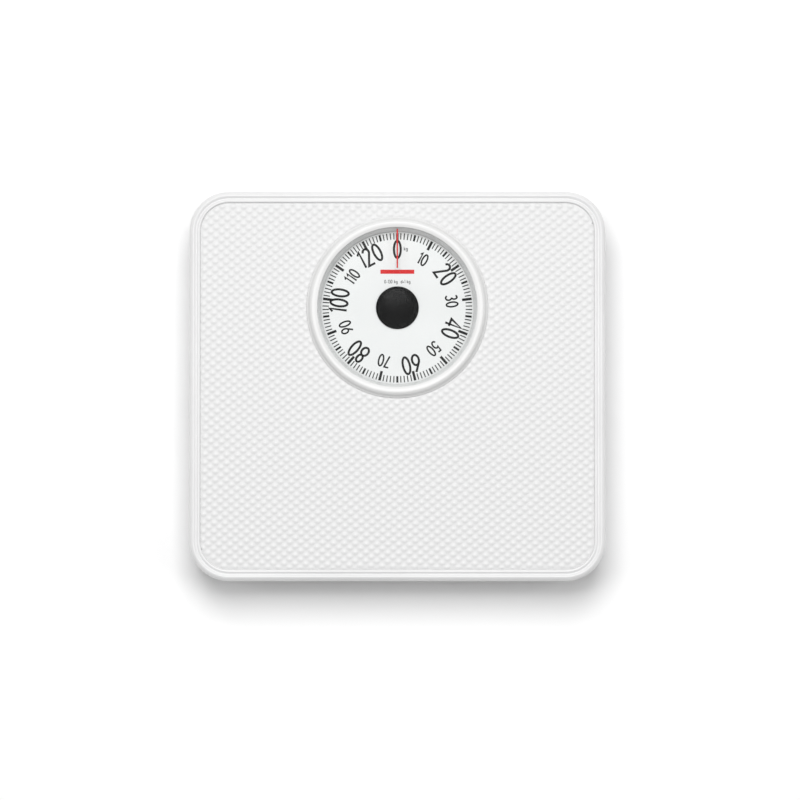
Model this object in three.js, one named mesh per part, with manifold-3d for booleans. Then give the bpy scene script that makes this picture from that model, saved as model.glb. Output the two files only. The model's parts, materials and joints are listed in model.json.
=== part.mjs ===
// Mechanical dial scale, flat platform type, 0 to 130 kg.
//
// Millimetres, +Z up, +Y towards the dial end, origin under the middle of the body on the
// surface that the scale stands on. The load presses the platform on four knife-edge levers.
// The two long levers pull down a plate hung on the main spring. A bell crank rides on that
// plate and lets a small spring draw the rack, which turns the pinion and the dial.

import * as THREE from "three";
import { mergeVertices } from "three/addons/utils/BufferGeometryUtils.js";
import Module from "manifold-3d";

const wasm = await Module();
wasm.setup();

// ---------------------------------------------------------------- driving dimensions

const BODY = { width: 280, depth: 262, corner: 27 };
const PAN = { width: 270, depth: 250, corner: 22, under: 5, top: 25, bend: 3 };
const GAP = 0.3;
const SHEET = 0.8;
const BRACKET = 1.5;
const FLOOR = PAN.under + SHEET;
const SEAT = FLOOR + GAP;
const CORNER_STEPS = 5;
const RING_SIDES = 48;

const DIAL_Y = 53;
const MAT = { width: 264.2, depth: 246.2, corner: 19, bottom: 45.3, top: 46.8 };
const DECK = { under: 44.2, top: 45, opening: 57 };
const BEZEL = { flange: 61, skirt: 56.5, lip: 53.8, bottom: 42.3, crown: 51.6 };
const LENS = { radius: 55, bottom: 47.9, top: 49.9 };
const DISC = { radius: 53, bottom: 39.4, top: 40.4 };
const CAP = { radius: 14.4, bottom: 40.7, top: 43.6 };

const FOOT = { x: 118, y: 108, radius: 11, hole: 3.9 };
const FULCRUM = { x: 104, y: 94 };
const KNIFE_Z = 16;
const LEVER = { bottom: 15, top: 24, thick: 2, tail: 6 };
const LOAD_ARM = 33.5;
const TIP = { x: 12.5, y: 109.5 };
const REACH = Math.hypot(FULCRUM.x - TIP.x, FULCRUM.y + TIP.y);
const LEAN = Math.atan2(FULCRUM.y + TIP.y, FULCRUM.x - TIP.x);
const CROSSING = FULCRUM.y / Math.sin(LEAN);

const CRANK = { y: 87.3, z: 14.3, foot: 7.38, finger: 20.8, rest: 24 * Math.PI / 180 };
const CRANK_PIN = 1.5;
const PLATE = { bottom: 13.8, top: 15.8 };
const SPRING_Y = TIP.y;
const MODULE = 0.4;
const TEETH = 12;
const RACK = { bottom: 30.48, top: 31.98, teeth: 17 };
const PITCH_RADIUS = MODULE * TEETH / 2;
const RACK_PITCH = Math.PI * MODULE;
const SPINDLE = 1;
const HOOK = { x: 13.5, z: (RACK.bottom + RACK.top) / 2, front: 80.8, back: 118 };

const BRIDGE = { half: 52, y0: 42, y1: 64, z: 34.2, flange: 62 };
const GUIDE_PIN = { x: 8.3, radius: 1.5, neck: 1.2, head: 2.2 };
const BUSH = { radius: 4, hole: 4.3, collar: 5.5 };
const WHEEL = { x: 48, y: 112, radius: 14.6, bottom: 7.6, top: 13.6, screw: 2 };
const ARM = { bottom: 34.5, top: 37, pivotX: -24, pivotZ: 35.75, pin: 1.5 };
const TAB = { x: 112, low: 14, high: 36, hole: 1.15 };

// -------------------------------------------------------------------------- materials

function paint(name, colour, roughness, metalness) {
  const material = new THREE.MeshStandardMaterial({ color: colour, roughness, metalness });
  material.name = name;
  return material;
}

const whiteEnamel = paint("white_enamel", 0xf2f2f2, 0.3, 0);
const whitePlastic = paint("white_plastic", 0xf4f4f2, 0.35, 0);
const matVinyl = paint("mat_vinyl", 0xe9e9e9, 0.65, 0);
const dialCard = paint("dial_card", 0xf8f8f6, 0.5, 0);
const clearPlastic = paint("clear_plastic", 0xf4f8fa, 0.05, 0);
const blackPlastic = paint("black_plastic", 0x17191a, 0.35, 0);
const redPlastic = paint("red_plastic", 0xc8161d, 0.4, 0);
const greyPlastic = paint("grey_plastic", 0x6f7376, 0.55, 0);
const blackRubber = paint("black_rubber", 0x26282a, 0.8, 0);
const zincSteel = paint("zinc_steel", 0xb9bcc0, 0.35, 0.9);
const springSteel = paint("spring_steel", 0x8f9397, 0.3, 1);
const brass = paint("brass", 0xb8964a, 0.35, 1);

// ------------------------------------------------------------------------ solid helpers

function toSolid(geometry) {
  const bare = geometry.clone();
  bare.deleteAttribute("normal");
  bare.deleteAttribute("uv");
  const merged = mergeVertices(bare, 1e-4);
  const index = merged.index.array;
  const kept = [];
  for (let i = 0; i < index.length; i += 3) {
    const [a, b, c] = [index[i], index[i + 1], index[i + 2]];
    if (a !== b && b !== c && c !== a) kept.push(a, b, c);
  }
  const vertProperties = new Float32Array(merged.attributes.position.array);
  const triVerts = new Uint32Array(kept);
  return new wasm.Manifold(new wasm.Mesh({ numProp: 3, vertProperties, triVerts }));
}

function toGeometry(solid) {
  const mesh = solid.getMesh();
  const geometry = new THREE.BufferGeometry();
  geometry.setAttribute("position", new THREE.BufferAttribute(mesh.vertProperties, 3));
  geometry.setIndex(new THREE.BufferAttribute(mesh.triVerts, 1));
  geometry.computeVertexNormals();
  return geometry;
}

function join(first, ...others) {
  return toGeometry(others.reduce((whole, other) => whole.add(toSolid(other)), toSolid(first)));
}

function cut(first, ...tools) {
  return toGeometry(tools.reduce((left, tool) => left.subtract(toSolid(tool)), toSolid(first)));
}

function box(x0, x1, y0, y1, z0, z1) {
  const block = new THREE.BoxGeometry(x1 - x0, y1 - y0, z1 - z0);
  return block.translate((x0 + x1) / 2, (y0 + y1) / 2, (z0 + z1) / 2);
}

function rod(radius, z0, z1, x = 0, y = 0, sides = 20) {
  const cylinder = new THREE.CylinderGeometry(radius, radius, z1 - z0, sides);
  return cylinder.rotateX(Math.PI / 2).translate(x, y, (z0 + z1) / 2);
}

// A turned piece: the profile lists [radius, height], up the outside and down the inside.
function turned(profile, sides = 24) {
  return new THREE.LatheGeometry(toPoints(profile), sides).rotateX(Math.PI / 2);
}

function washer(inner, outer, bottom, top, sides = 20) {
  const profile = [[inner, bottom], [outer, bottom], [outer, top], [inner, top], [inner, bottom]];
  return turned(profile, sides);
}

function circle(x, y, radius, sides = 16) {
  const points = [];
  for (let i = 0; i < sides; i++) {
    const angle = 2 * Math.PI * i / sides;
    points.push([x + radius * Math.cos(angle), y + radius * Math.sin(angle)]);
  }
  return points;
}

function toPoints(list) {
  return list.map(([x, y]) => new THREE.Vector2(x, y));
}

function extruded(outline, thickness, holes = []) {
  const shape = new THREE.Shape(toPoints(outline));
  shape.holes = holes.map((hole) => new THREE.Path(toPoints(hole)));
  return new THREE.ExtrudeGeometry(shape, { depth: thickness, bevelEnabled: false });
}

// A flat plate drawn in X and Y.
function plate(outline, z0, z1, holes = []) {
  return extruded(outline, z1 - z0, holes).translate(0, 0, z0);
}

// An upright plate drawn in X and Z, centred on y = 0.
function frontPlate(outline, thickness, holes = []) {
  return extruded(outline, thickness, holes).rotateX(Math.PI / 2).translate(0, thickness / 2, 0);
}

// An upright plate drawn in Y and Z, centred on x = 0.
function sidePlate(outline, thickness, holes = []) {
  const turnedPlate = extruded(outline, thickness, holes).rotateX(Math.PI / 2).rotateZ(Math.PI / 2);
  return turnedPlate.translate(-thickness / 2, 0, 0);
}

function rectangle(x0, x1, y0, y1) {
  return [[x0, y0], [x1, y0], [x1, y1], [x0, y1]];
}

function roundedRectangle(width, depth, radius, steps = CORNER_STEPS) {
  const points = [];
  const centres = [[1, 1], [-1, 1], [-1, -1], [1, -1]];
  centres.forEach(([sideX, sideY], quarter) => {
    for (let i = 0; i <= steps; i++) {
      const angle = (quarter + i / steps) * Math.PI / 2;
      const x = sideX * (width / 2 - radius) + radius * Math.cos(angle);
      const y = sideY * (depth / 2 - radius) + radius * Math.sin(angle);
      points.push([x, y]);
    }
  });
  return points;
}

// A skin over stacked outlines of equal count, closed by a flat lid at each end. The first
// lid faces down and the last one faces up.
function loft(rings) {
  const count = rings[0].points.length;
  const positions = [];
  for (const { points, z } of rings) {
    points.forEach(([x, y]) => positions.push(x, y, z));
  }
  const index = [];
  for (let r = 0; r + 1 < rings.length; r++) {
    for (let i = 0; i < count; i++) {
      const a = r * count + i;
      const b = r * count + (i + 1) % count;
      index.push(a, b, b + count, a, b + count, a + count);
    }
  }
  const last = rings.length - 1;
  const bottomCentre = positions.length / 3;
  positions.push(0, 0, rings[0].z, 0, 0, rings[last].z);
  for (let i = 0; i < count; i++) {
    const next = (i + 1) % count;
    index.push(bottomCentre, next, i);
    index.push(bottomCentre + 1, last * count + i, last * count + next);
  }
  const geometry = new THREE.BufferGeometry();
  geometry.setAttribute("position", new THREE.Float32BufferAttribute(positions, 3));
  geometry.setIndex(index);
  geometry.computeVertexNormals();
  return geometry;
}

// One pressed skin: each step of the profile is [inset from the outline, height].
function pressing({ width, depth, corner }, profile) {
  return loft(profile.map(([inset, z]) => {
    const radius = Math.max(corner - inset, 1);
    return { points: roundedRectangle(width - 2 * inset, depth - 2 * inset, radius), z };
  }));
}

function wire(points, radius, steps, sides = 6) {
  const route = new THREE.CatmullRomCurve3(points, false, "centripetal");
  const section = new THREE.Shape(toPoints(circle(0, 0, radius, sides)));
  const options = { steps, bevelEnabled: false, extrudePath: route };
  return new THREE.ExtrudeGeometry(section, options);
}

function part(parent, name, geometry, material) {
  const mesh = new THREE.Mesh(geometry, material);
  mesh.name = name;
  parent.add(mesh);
  return mesh;
}

// --------------------------------------------------------------------- base pan and feet

const RIVET = { shank: 1.8, hole: 2.1, along: 8.5 };
const BRIDGE_SCREW = { x: 57, shank: 1.8, hole: 2.1 };

// The corner frames: x runs along the lever from its knife edge, y across it.
function cornerFrame(sideX, sideY) {
  const frame = new THREE.Group();
  frame.position.set(sideX * FULCRUM.x, sideY * FULCRUM.y, 0);
  frame.rotation.z = Math.atan2(-sideY * Math.sin(LEAN), -sideX * Math.cos(LEAN));
  return frame;
}

function placeInCorner(sideX, sideY, along) {
  const x = sideX * (FULCRUM.x - along * Math.cos(LEAN));
  const y = sideY * (FULCRUM.y - along * Math.sin(LEAN));
  return [x, y];
}

const CORNERS = [
  { name: "front_left", sideX: -1, sideY: -1, long: true },
  { name: "front_right", sideX: 1, sideY: -1, long: true },
  { name: "rear_left", sideX: -1, sideY: 1, long: false },
  { name: "rear_right", sideX: 1, sideY: 1, long: false },
];

function beads() {
  const rows = [-100, -60, -20, 20];
  const length = 150;
  const width = 12;
  const height = 1.7;
  const raised = [];
  const hollow = [];
  for (const y of rows) {
    const shape = (inset, z) => {
      const points = roundedRectangle(length - 2 * inset, width - 2 * inset, width / 2 - inset, 3);
      return { points, z };
    };
    raised.push(loft([shape(0, FLOOR - 0.3), shape(0, FLOOR), shape(2, FLOOR + height)]));
    const low = shape(1, PAN.under - 1);
    hollow.push(loft([low, shape(1, PAN.under), shape(2.6, PAN.under + height)]));
    raised.at(-1).translate(0, y, 0);
    hollow.at(-1).translate(0, y, 0);
  }
  return { raised, hollow };
}

function basePan() {
  const bend = PAN.bend;
  const skin = pressing(PAN, [
    [bend, PAN.under],
    [bend * 0.3, PAN.under + bend * 0.3],
    [0, PAN.under + bend],
    [0, PAN.top],
    [SHEET, PAN.top],
    [SHEET, PAN.under + bend],
    [bend * 0.52, PAN.under + bend * 0.52],
    [bend, FLOOR],
  ]);
  const tab = sidePlate(rectangle(-5, 5, FLOOR - 0.4, TAB.low + 2.5), BRACKET);
  const tabs = [tab.clone().translate(-TAB.x, 0, 0), tab.clone().translate(TAB.x, 0, 0)];
  const { raised, hollow } = beads();
  const holes = [];
  for (const { sideX, sideY } of CORNERS) {
    const [x, y] = placeInCorner(sideX, sideY, RIVET.along);
    holes.push(rod(FOOT.hole, 0, 10, sideX * FOOT.x, sideY * FOOT.y, 16));
    holes.push(rod(RIVET.hole, 0, 10, x, y, 12));
  }
  for (const side of [-1, 1]) {
    holes.push(rod(BRIDGE_SCREW.hole, 0, 10, side * BRIDGE_SCREW.x, DIAL_Y, 12));
    holes.push(rod(TAB.hole, -2, 2, 0, 0, 12).rotateY(Math.PI / 2).translate(side * TAB.x, 0, TAB.low));
  }
  const slotHalf = 11;
  const [slotBottom, slotTop] = [WHEEL.bottom - 1.1, WHEEL.top + 1];
  const [slotIn, slotOut] = [PAN.depth / 2 - 5, PAN.depth / 2 + 5];
  const wheelSlot = box(WHEEL.x - slotHalf, WHEEL.x + slotHalf, slotIn, slotOut, slotBottom, slotTop);
  return cut(join(skin, ...tabs, ...raised), ...hollow, ...holes, wheelSlot);
}

function foot() {
  const padTop = PAN.under - GAP;
  const stem = FOOT.hole - GAP;
  const outline = [[0, 0], [9.6, 0], [FOOT.radius, 1.3], [FOOT.radius, padTop - 0.8]];
  outline.push([10.2, padTop], [stem, padTop], [stem, SEAT], [5, SEAT], [4, 8], [0, 8]);
  return turned(outline, 16);
}

// --------------------------------------------------------- levers and their knife edges

const BLADE = { width: 18, slot: 2.8, top: 19 };

function fulcrum() {
  const half = BLADE.width / 2;
  const slot = BLADE.slot / 2;
  const seat = KNIFE_Z - GAP;
  const outline = [[-half, SEAT], [half, SEAT], [half, BLADE.top], [slot, BLADE.top], [slot, seat]];
  outline.push([-slot, seat], [-slot, BLADE.top], [-half, BLADE.top]);
  const blade = sidePlate(outline, LEVER.thick);
  const flange = box(0, 15, -half, half, SEAT, SEAT + LEVER.thick);
  return cut(join(blade, flange), rod(RIVET.hole, 0, 10, RIVET.along, 0, 12));
}

function rivet() {
  const under = PAN.under - GAP;
  const over = SEAT + LEVER.thick + GAP;
  const outline = [[0, under - 1.2], [2.4, under - 1.2], [3.3, under - 0.5], [3.3, under]];
  outline.push([RIVET.shank, under], [RIVET.shank, over], [3, over], [3, over + 0.6]);
  outline.push([2.2, over + 1.2], [0, over + 1.2]);
  return turned(outline, 10);
}

// Notches seat the lever on its fulcrum and take the platform foot on its top edge.
function bottomNotch() {
  const notch = 1.5;
  return [[-notch, LEVER.bottom], [-notch, KNIFE_Z], [notch, KNIFE_Z], [notch, LEVER.bottom]];
}

function topNotch() {
  const [near, far, floor] = [LOAD_ARM - 1.5, LOAD_ARM + 1.5, LEVER.top - 1];
  return [[far, LEVER.top], [far, floor], [near, floor], [near, LEVER.top]];
}

function longLever() {
  const tipBottom = PLATE.top + GAP;
  const outline = [[-LEVER.tail, LEVER.bottom], ...bottomNotch()];
  outline.push([REACH - 28, LEVER.bottom], [REACH - 20, tipBottom], [REACH + 4, tipBottom]);
  outline.push([REACH + 4, 21], [REACH - 40, LEVER.top], ...topNotch(), [-LEVER.tail, LEVER.top]);
  const window = rectangle(CROSSING - 4, CROSSING + 4, 17, 21.6);
  return frontPlate(outline, LEVER.thick, [window]);
}

function shortLever() {
  const [tongueBottom, tongueTop] = [17.3, 20.8];
  const outline = [[-LEVER.tail, LEVER.bottom], ...bottomNotch()];
  outline.push([CROSSING - 13, LEVER.bottom], [CROSSING - 6, tongueBottom]);
  outline.push([CROSSING + 3, tongueBottom], [CROSSING + 3, tongueTop]);
  outline.push([CROSSING - 6, tongueTop], [CROSSING - 14, LEVER.top]);
  outline.push(...topNotch(), [-LEVER.tail, LEVER.top]);
  return frontPlate(outline, LEVER.thick);
}

function platformFoot() {
  const half = 8;
  const slot = BLADE.slot / 2;
  const [bottom, top] = [19.5, DECK.under - GAP];
  const roof = LEVER.top - 1 + GAP;
  const outline = [[-half, bottom], [-slot, bottom], [-slot, roof], [slot, roof], [slot, bottom]];
  outline.push([half, bottom], [half, top], [-half, top]);
  const blade = sidePlate(outline, LEVER.thick).translate(LOAD_ARM, 0, 0);
  const flange = box(LOAD_ARM, LOAD_ARM + 13, -half, half, top - LEVER.thick, top);
  return join(blade, flange);
}

// ---------------------------------------------------- dial bridge, bearings and brackets

function dialBridge() {
  const { half, y0, y1, z, flange } = BRIDGE;
  const top = z + BRACKET;
  const foot = SEAT + BRACKET;
  const section = [[-flange, SEAT], [-half + BRACKET, SEAT], [-half + BRACKET, z], [half - BRACKET, z]];
  section.push([half - BRACKET, SEAT], [flange, SEAT], [flange, foot], [half, foot], [half, top]);
  section.push([-half, top], [-half, foot], [-flange, foot]);
  const strap = frontPlate(section, y1 - y0).translate(0, (y0 + y1) / 2, 0);
  const bushHole = rod(BUSH.hole, z - 1, top + 1, 0, DIAL_Y);
  const pinHole = rod(GUIDE_PIN.neck + GAP, z - 1, top + 1, GUIDE_PIN.x, DIAL_Y, 12);
  const holes = [bushHole, pinHole];
  for (const side of [-1, 1]) {
    holes.push(rod(BRIDGE_SCREW.hole, SEAT - 1, foot + 1, side * BRIDGE_SCREW.x, DIAL_Y, 12));
  }
  return cut(strap, ...holes);
}

function bridgeScrew() {
  const head = PAN.under - GAP;
  const { shank } = BRIDGE_SCREW;
  const outline = [[0, head - 1.4], [3, head - 1.4], [3.6, head - 0.6], [3.6, head]];
  outline.push([shank, head], [shank, 9.5], [0, 9.5]);
  return turned(outline, 16);
}

function spindleBush() {
  const collar = BRIDGE.z + BRACKET + GAP;
  const bore = SPINDLE + GAP;
  const bottom = BRIDGE.z - 0.4;
  const outline = [[bore, bottom], [BUSH.radius, bottom], [BUSH.radius, collar]];
  outline.push([BUSH.collar, collar], [BUSH.collar, collar + 1]);
  outline.push([bore, collar + 1], [bore, bottom]);
  return turned(outline, 20);
}

function spindleCup() {
  const bore = SPINDLE + GAP;
  const [shoulder, top, seat] = [9, 10.5, 8];
  const outline = [[0, SEAT], [5, SEAT], [5, shoulder], [3.5, top], [bore, top]];
  outline.push([bore, seat], [0, seat]);
  return turned(outline, 20);
}

function rackGuidePin() {
  const collar = BRIDGE.z + BRACKET + GAP;
  const shoulder = BRIDGE.z - GAP;
  const bottom = RACK.bottom - 1;
  const { radius, neck, head } = GUIDE_PIN;
  const outline = [[0, bottom], [radius, bottom], [radius, shoulder], [neck, shoulder]];
  outline.push([neck, collar], [head, collar], [head, collar + 0.8], [0, collar + 0.8]);
  return turned(outline, 16);
}

function crankBracket() {
  const [y0, y1] = [CRANK.y - 4.5, CRANK.y + 4.9];
  const half = 6;
  const cheekX = half - BRACKET / 2;
  const hole = circle(CRANK.y, CRANK.z, CRANK_PIN + GAP, 14);
  const cheek = sidePlate(rectangle(y0, y1, SEAT, 18), BRACKET, [hole]);
  const cheeks = [cheek.clone().translate(-cheekX, 0, 0), cheek.clone().translate(cheekX, 0, 0)];
  return join(box(-half, half, y0, y1, SEAT, SEAT + BRACKET), ...cheeks);
}

function crankPin() {
  const [end, head, headRadius] = [8, 7.4, 2.6];
  const outline = [[0, -8.5], [headRadius, -8.5], [headRadius, -head], [CRANK_PIN, -head]];
  outline.push([CRANK_PIN, end], [0, end]);
  return turned(outline, 14).rotateY(Math.PI / 2).translate(0, CRANK.y, CRANK.z);
}

const ARM_CHEEK = { front: 103.2, back: 117.8 };

function armBracket() {
  const [x0, x1] = [-32, -19];
  const outline = [[x0, SEAT], [x1, SEAT], [x1, 36], [x1 - 2, 38], [x0 + 2, 38], [x0, 36]];
  const hole = circle(ARM.pivotX, ARM.pivotZ, ARM.pin + GAP, 14);
  const { front, back } = ARM_CHEEK;
  const cheek = frontPlate(outline, BRACKET, [hole]);
  const cheeks = [
    cheek.clone().translate(0, front + BRACKET / 2, 0),
    cheek.clone().translate(0, back - BRACKET / 2, 0),
  ];
  return join(box(x0, x1, front, back, SEAT, SEAT + BRACKET), ...cheeks);
}

function armPin() {
  const { front, back } = ARM_CHEEK;
  const head = front - GAP;
  const outline = [[0, head - 1.2], [2.7, head - 1.2], [2.7, head], [ARM.pin, head]];
  outline.push([ARM.pin, back + 1.5], [0, back + 1.5]);
  return turned(outline, 14).rotateX(-Math.PI / 2).translate(ARM.pivotX, 0, ARM.pivotZ);
}

function wheelBracket() {
  const [y0, y1] = [104, 116];
  const [inner, outer, under] = [16, 17.5, WHEEL.top + 0.8];
  const top = under + BRACKET;
  const section = [[-outer, SEAT], [-inner, SEAT], [-inner, under], [inner, under], [inner, SEAT]];
  section.push([outer, SEAT], [outer, top], [-outer, top]);
  const strap = frontPlate(section, y1 - y0).translate(WHEEL.x, (y0 + y1) / 2, 0);
  return cut(strap, rod(WHEEL.screw + GAP, under - 1, top + 1, WHEEL.x, WHEEL.y));
}

function rackSpringPost() {
  const [y0, y1, half, top] = [119, 120.5, 3, 32];
  const post = box(HOOK.x - half, HOOK.x + half, y0, y1, SEAT, top);
  const tab = box(HOOK.x - half, HOOK.x + half, 115.5, y1, top - BRACKET, top);
  return cut(join(post, tab), rod(1, top - 3, top + 1, HOOK.x, HOOK.back, 12));
}

// ------------------------------------------------------------------------------- springs

// Points of a coil round the +Z axis, from its start angle up.
function helix(radius, turns, z0, z1, startAngle, perTurn) {
  const points = [];
  const count = Math.round(turns * perTurn);
  for (let i = 0; i <= count; i++) {
    const angle = startAngle + 2 * Math.PI * turns * i / count;
    const z = z0 + (z1 - z0) * i / count;
    points.push(new THREE.Vector3(radius * Math.cos(angle), radius * Math.sin(angle), z));
  }
  return points;
}

const MAIN_SPRING = { radius: 6.5, wire: 1.3, turns: 4, bottom: 19.8, top: 31.8 };

function mainSpring() {
  const { radius, wire: thick, turns, bottom, top } = MAIN_SPRING;
  const tail = (heights) => heights.map((z) => new THREE.Vector3(0, 0, z));
  const low = tail([PLATE.top + 0.8, 17.4, 18.1, 18.7]);
  const high = tail([33.2, 33.8, 34.6, 36, 37.4, 38.9]);
  const coil = helix(radius, turns, bottom + thick, top - thick, 0, 10);
  return wire([...low, ...coil, ...high], thick, 64).translate(0, SPRING_Y, 0);
}

// A hook ends each small spring: an arc in X and Z whose far side is at distance 2 * reach.
function hook(reach, z, up, fromAngle, toAngle, steps = 6) {
  const points = [];
  for (let i = 0; i <= steps; i++) {
    const angle = fromAngle + (toAngle - fromAngle) * i / steps;
    const x = reach * Math.cos(angle);
    points.push(new THREE.Vector3(x, 0, z + up * (reach - reach * Math.sin(angle))));
  }
  return points;
}

// An extension spring along +Z, from an eye at z0 to an eye at z1.
function hookedSpring({ reach, radius, thick, turns, z0, z1, lead, perTurn, sides }) {
  const low = hook(reach, z0, 1, Math.PI * 0.92, 0.08);
  const coil = helix(radius, turns, z0 + lead, z1 - lead, 0, perTurn);
  const high = hook(reach, z1, -1, 0.08, Math.PI * 0.92);
  const points = [...low, ...coil, ...high];
  return wire(points, thick, Math.round(turns * perTurn) + 14, sides);
}

function platformSpring(side) {
  const size = { reach: 2.6, radius: 3.4, thick: 0.6, turns: 5, z0: TAB.low, z1: TAB.high };
  const spring = hookedSpring({ ...size, lead: 6.7, perTurn: 8, sides: 5 });
  return spring.translate(side * TAB.x, 0, 0);
}

function rackSpring() {
  const size = { reach: 2, radius: 2, thick: 0.35, turns: 7, z0: HOOK.front, z1: HOOK.back };
  const spring = hookedSpring({ ...size, lead: 5.5, perTurn: 8, sides: 5 });
  return spring.rotateZ(Math.PI / 2).rotateX(-Math.PI / 2).translate(HOOK.x, 0, HOOK.z);
}

// -------------------------------------------------------------------------- zero setting

function zeroWheel() {
  const ridges = 36;
  const depth = 0.7;
  const outline = [];
  for (let i = 0; i < 2 * ridges; i++) {
    const angle = Math.PI * i / ridges;
    const radius = WHEEL.radius - (i % 2) * depth;
    outline.push([radius * Math.cos(angle), radius * Math.sin(angle)]);
  }
  const bore = circle(0, 0, WHEEL.screw + GAP, 20);
  return plate(outline, WHEEL.bottom, WHEEL.top, [bore]).translate(WHEEL.x, WHEEL.y, 0);
}

function zeroArm() {
  const [y0, y1] = [105.5, 115.5];
  const [x0, x1] = [ARM.pivotX - 4, WHEEL.x + 6];
  const [eyeTop, eyeBottom] = [ARM.pivotZ + 3.4, ARM.pivotZ - 3.4];
  const outline = [[ARM.pivotX + 7, ARM.bottom], [x1, ARM.bottom], [x1, ARM.top]];
  outline.push([ARM.pivotX + 7, ARM.top], [ARM.pivotX + 2, eyeTop], [ARM.pivotX - 2, eyeTop]);
  outline.push([x0, ARM.top], [x0, ARM.bottom], [ARM.pivotX - 2, eyeBottom], [ARM.pivotX + 2, eyeBottom]);
  const eye = circle(ARM.pivotX, ARM.pivotZ, ARM.pin + GAP, 14);
  const bar = frontPlate(outline, y1 - y0, [eye]).translate(0, (y0 + y1) / 2, 0);
  const springHole = rod(MAIN_SPRING.wire + 0.5, 30, 42, 0, SPRING_Y, 14);
  const screwHole = rod(WHEEL.screw + 0.5, 30, 42, WHEEL.x, WHEEL.y, 14);
  return cut(bar, springHole, screwHole);
}

// ------------------------------------------------------------------ spring plate and crank

function springPlate() {
  return plate(rectangle(-18, 18, 92.9, 117.5), PLATE.bottom, PLATE.top);
}

function bellCrank() {
  const { foot: arm, finger } = CRANK;
  const outline = [];
  const arc = (cx, cy, radius, from, to, steps) => {
    for (let i = 0; i <= steps; i++) {
      const angle = (from + (to - from) * i / steps) * Math.PI / 180;
      outline.push([cx + radius * Math.cos(angle), cy + radius * Math.sin(angle)]);
    }
  };
  arc(0, 0, 3.4, 180, 350, 10);
  arc(arm, 0, 1.2, -155, 100, 8);
  outline.push([3.2, 2.2], [1.5, 4.5], [1.5, finger - 6], [0.75, finger - 5], [0.75, finger]);
  outline.push([-0.75, finger], [-0.75, finger - 5], [-1.5, finger - 6], [-1.5, 4.5]);
  return sidePlate(outline, 3, [circle(0, 0, CRANK_PIN + GAP, 14)]);
}

// ------------------------------------------------------------------------ rack and pinion

// Stub teeth, cut thin so that they mesh with play.
const TOOTH = { addendum: 0.3, dedendum: 0.5, slope: Math.tan(20 * Math.PI / 180), half: 0.288 };

function rack() {
  const [front, back, inner, outer] = [35, 57.5, 4, 6.5];
  const outline = [[outer, front]];
  const tip = PITCH_RADIUS - TOOTH.addendum;
  const root = PITCH_RADIUS + TOOTH.dedendum;
  const atTip = TOOTH.half - TOOTH.addendum * TOOTH.slope;
  const atRoot = TOOTH.half + TOOTH.dedendum * TOOTH.slope;
  outline.push([outer, 78], [16, 78], [16, 83.5], [-4.5, 83.5], [-4.5, 74], [inner, 72]);
  outline.push([inner, back], [root, back]);
  const first = DIAL_Y + RACK_PITCH * 3.5;
  for (let i = 0; i < RACK.teeth; i++) {
    const y = first - RACK_PITCH * i;
    if (y - atRoot < front + 0.2) break;
    outline.push([root, y + atRoot], [tip, y + atTip], [tip, y - atTip], [root, y - atRoot]);
  }
  outline.push([root, front]);
  const slotY = CRANK.y - (HOOK.z - CRANK.z) * Math.tan(CRANK.rest);
  const slot = rectangle(-1.9, 1.9, slotY - 1.5, slotY + 1.5);
  const eye = circle(HOOK.x, HOOK.front, 1, 12);
  return plate(outline.reverse(), RACK.bottom, RACK.top, [slot, eye]);
}

function pinion() {
  const root = PITCH_RADIUS - TOOTH.dedendum;
  const base = 2.255;
  const tip = PITCH_RADIUS + TOOTH.addendum;
  const flank = [[root, 0.118], [base, 0.1045], [PITCH_RADIUS, 0.0896], [tip, 0.0283]];
  const outline = [];
  for (let i = 0; i < TEETH; i++) {
    const centre = 2 * Math.PI * i / TEETH;
    const rising = flank.map(([radius, half]) => [radius, centre - half]);
    const falling = flank.map(([radius, half]) => [radius, centre + half]).reverse();
    for (const [radius, angle] of [...rising, ...falling]) {
      outline.push([radius * Math.cos(angle), radius * Math.sin(angle)]);
    }
  }
  const bore = circle(0, 0, SPINDLE + GAP, 12);
  return plate(outline, 29.7, 33.2, [bore]).translate(0, DIAL_Y, 0);
}

// ----------------------------------------------------------------------------------- dial

function dialHub() {
  const bore = SPINDLE + GAP;
  const flangeTop = DISC.bottom - GAP;
  const outline = [[bore, 38], [7, 38], [7, flangeTop], [3, flangeTop], [3, 41.2]];
  outline.push([bore, 41.2], [bore, 38]);
  return turned(outline, 24);
}

function hubCap() {
  const { radius, bottom, top } = CAP;
  const recess = 3.4;
  const outline = [[recess, bottom], [radius, bottom], [radius, bottom + 0.7]];
  const crownSteps = 5;
  const rim = bottom + 0.7;
  for (let i = 1; i < crownSteps; i++) {
    const angle = Math.PI / 2 * i / crownSteps;
    outline.push([radius * Math.cos(angle), rim + (top - rim) * Math.sin(angle)]);
  }
  outline.push([0, top], [0, 41.6], [recess, 41.6], [recess, bottom]);
  return turned(outline, 28);
}

// ----------------------------------------------------------- platform, bezel and window

function platformCover() {
  const step = SHEET;
  const cover = pressing(BODY, [
    [7.6 - step, DECK.under],
    [7.6 - step, 45.8],
    [6.3, 46.6],
    [4.7, 46.4],
    [2.8, 47],
    [1.3, 45.2],
    [step, 42],
    [1 + step, 15],
    [1, 15],
    [0.35, 30],
    [0, 42],
    [0.25, 44.5],
    [0.9, 46.3],
    [1.8, 47.4],
    [2.8, 47.9],
    [3.8, 47.8],
    [4.7, 47.3],
    [5.5, 47.3],
    [6.2, 47.55],
    [6.9, 47.45],
    [7.4, 46.9],
    [7.6, 46],
    [7.6, DECK.top],
  ]);
  return cut(cover, rod(DECK.opening, 40, 50, 0, DIAL_Y, RING_SIDES));
}

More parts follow.
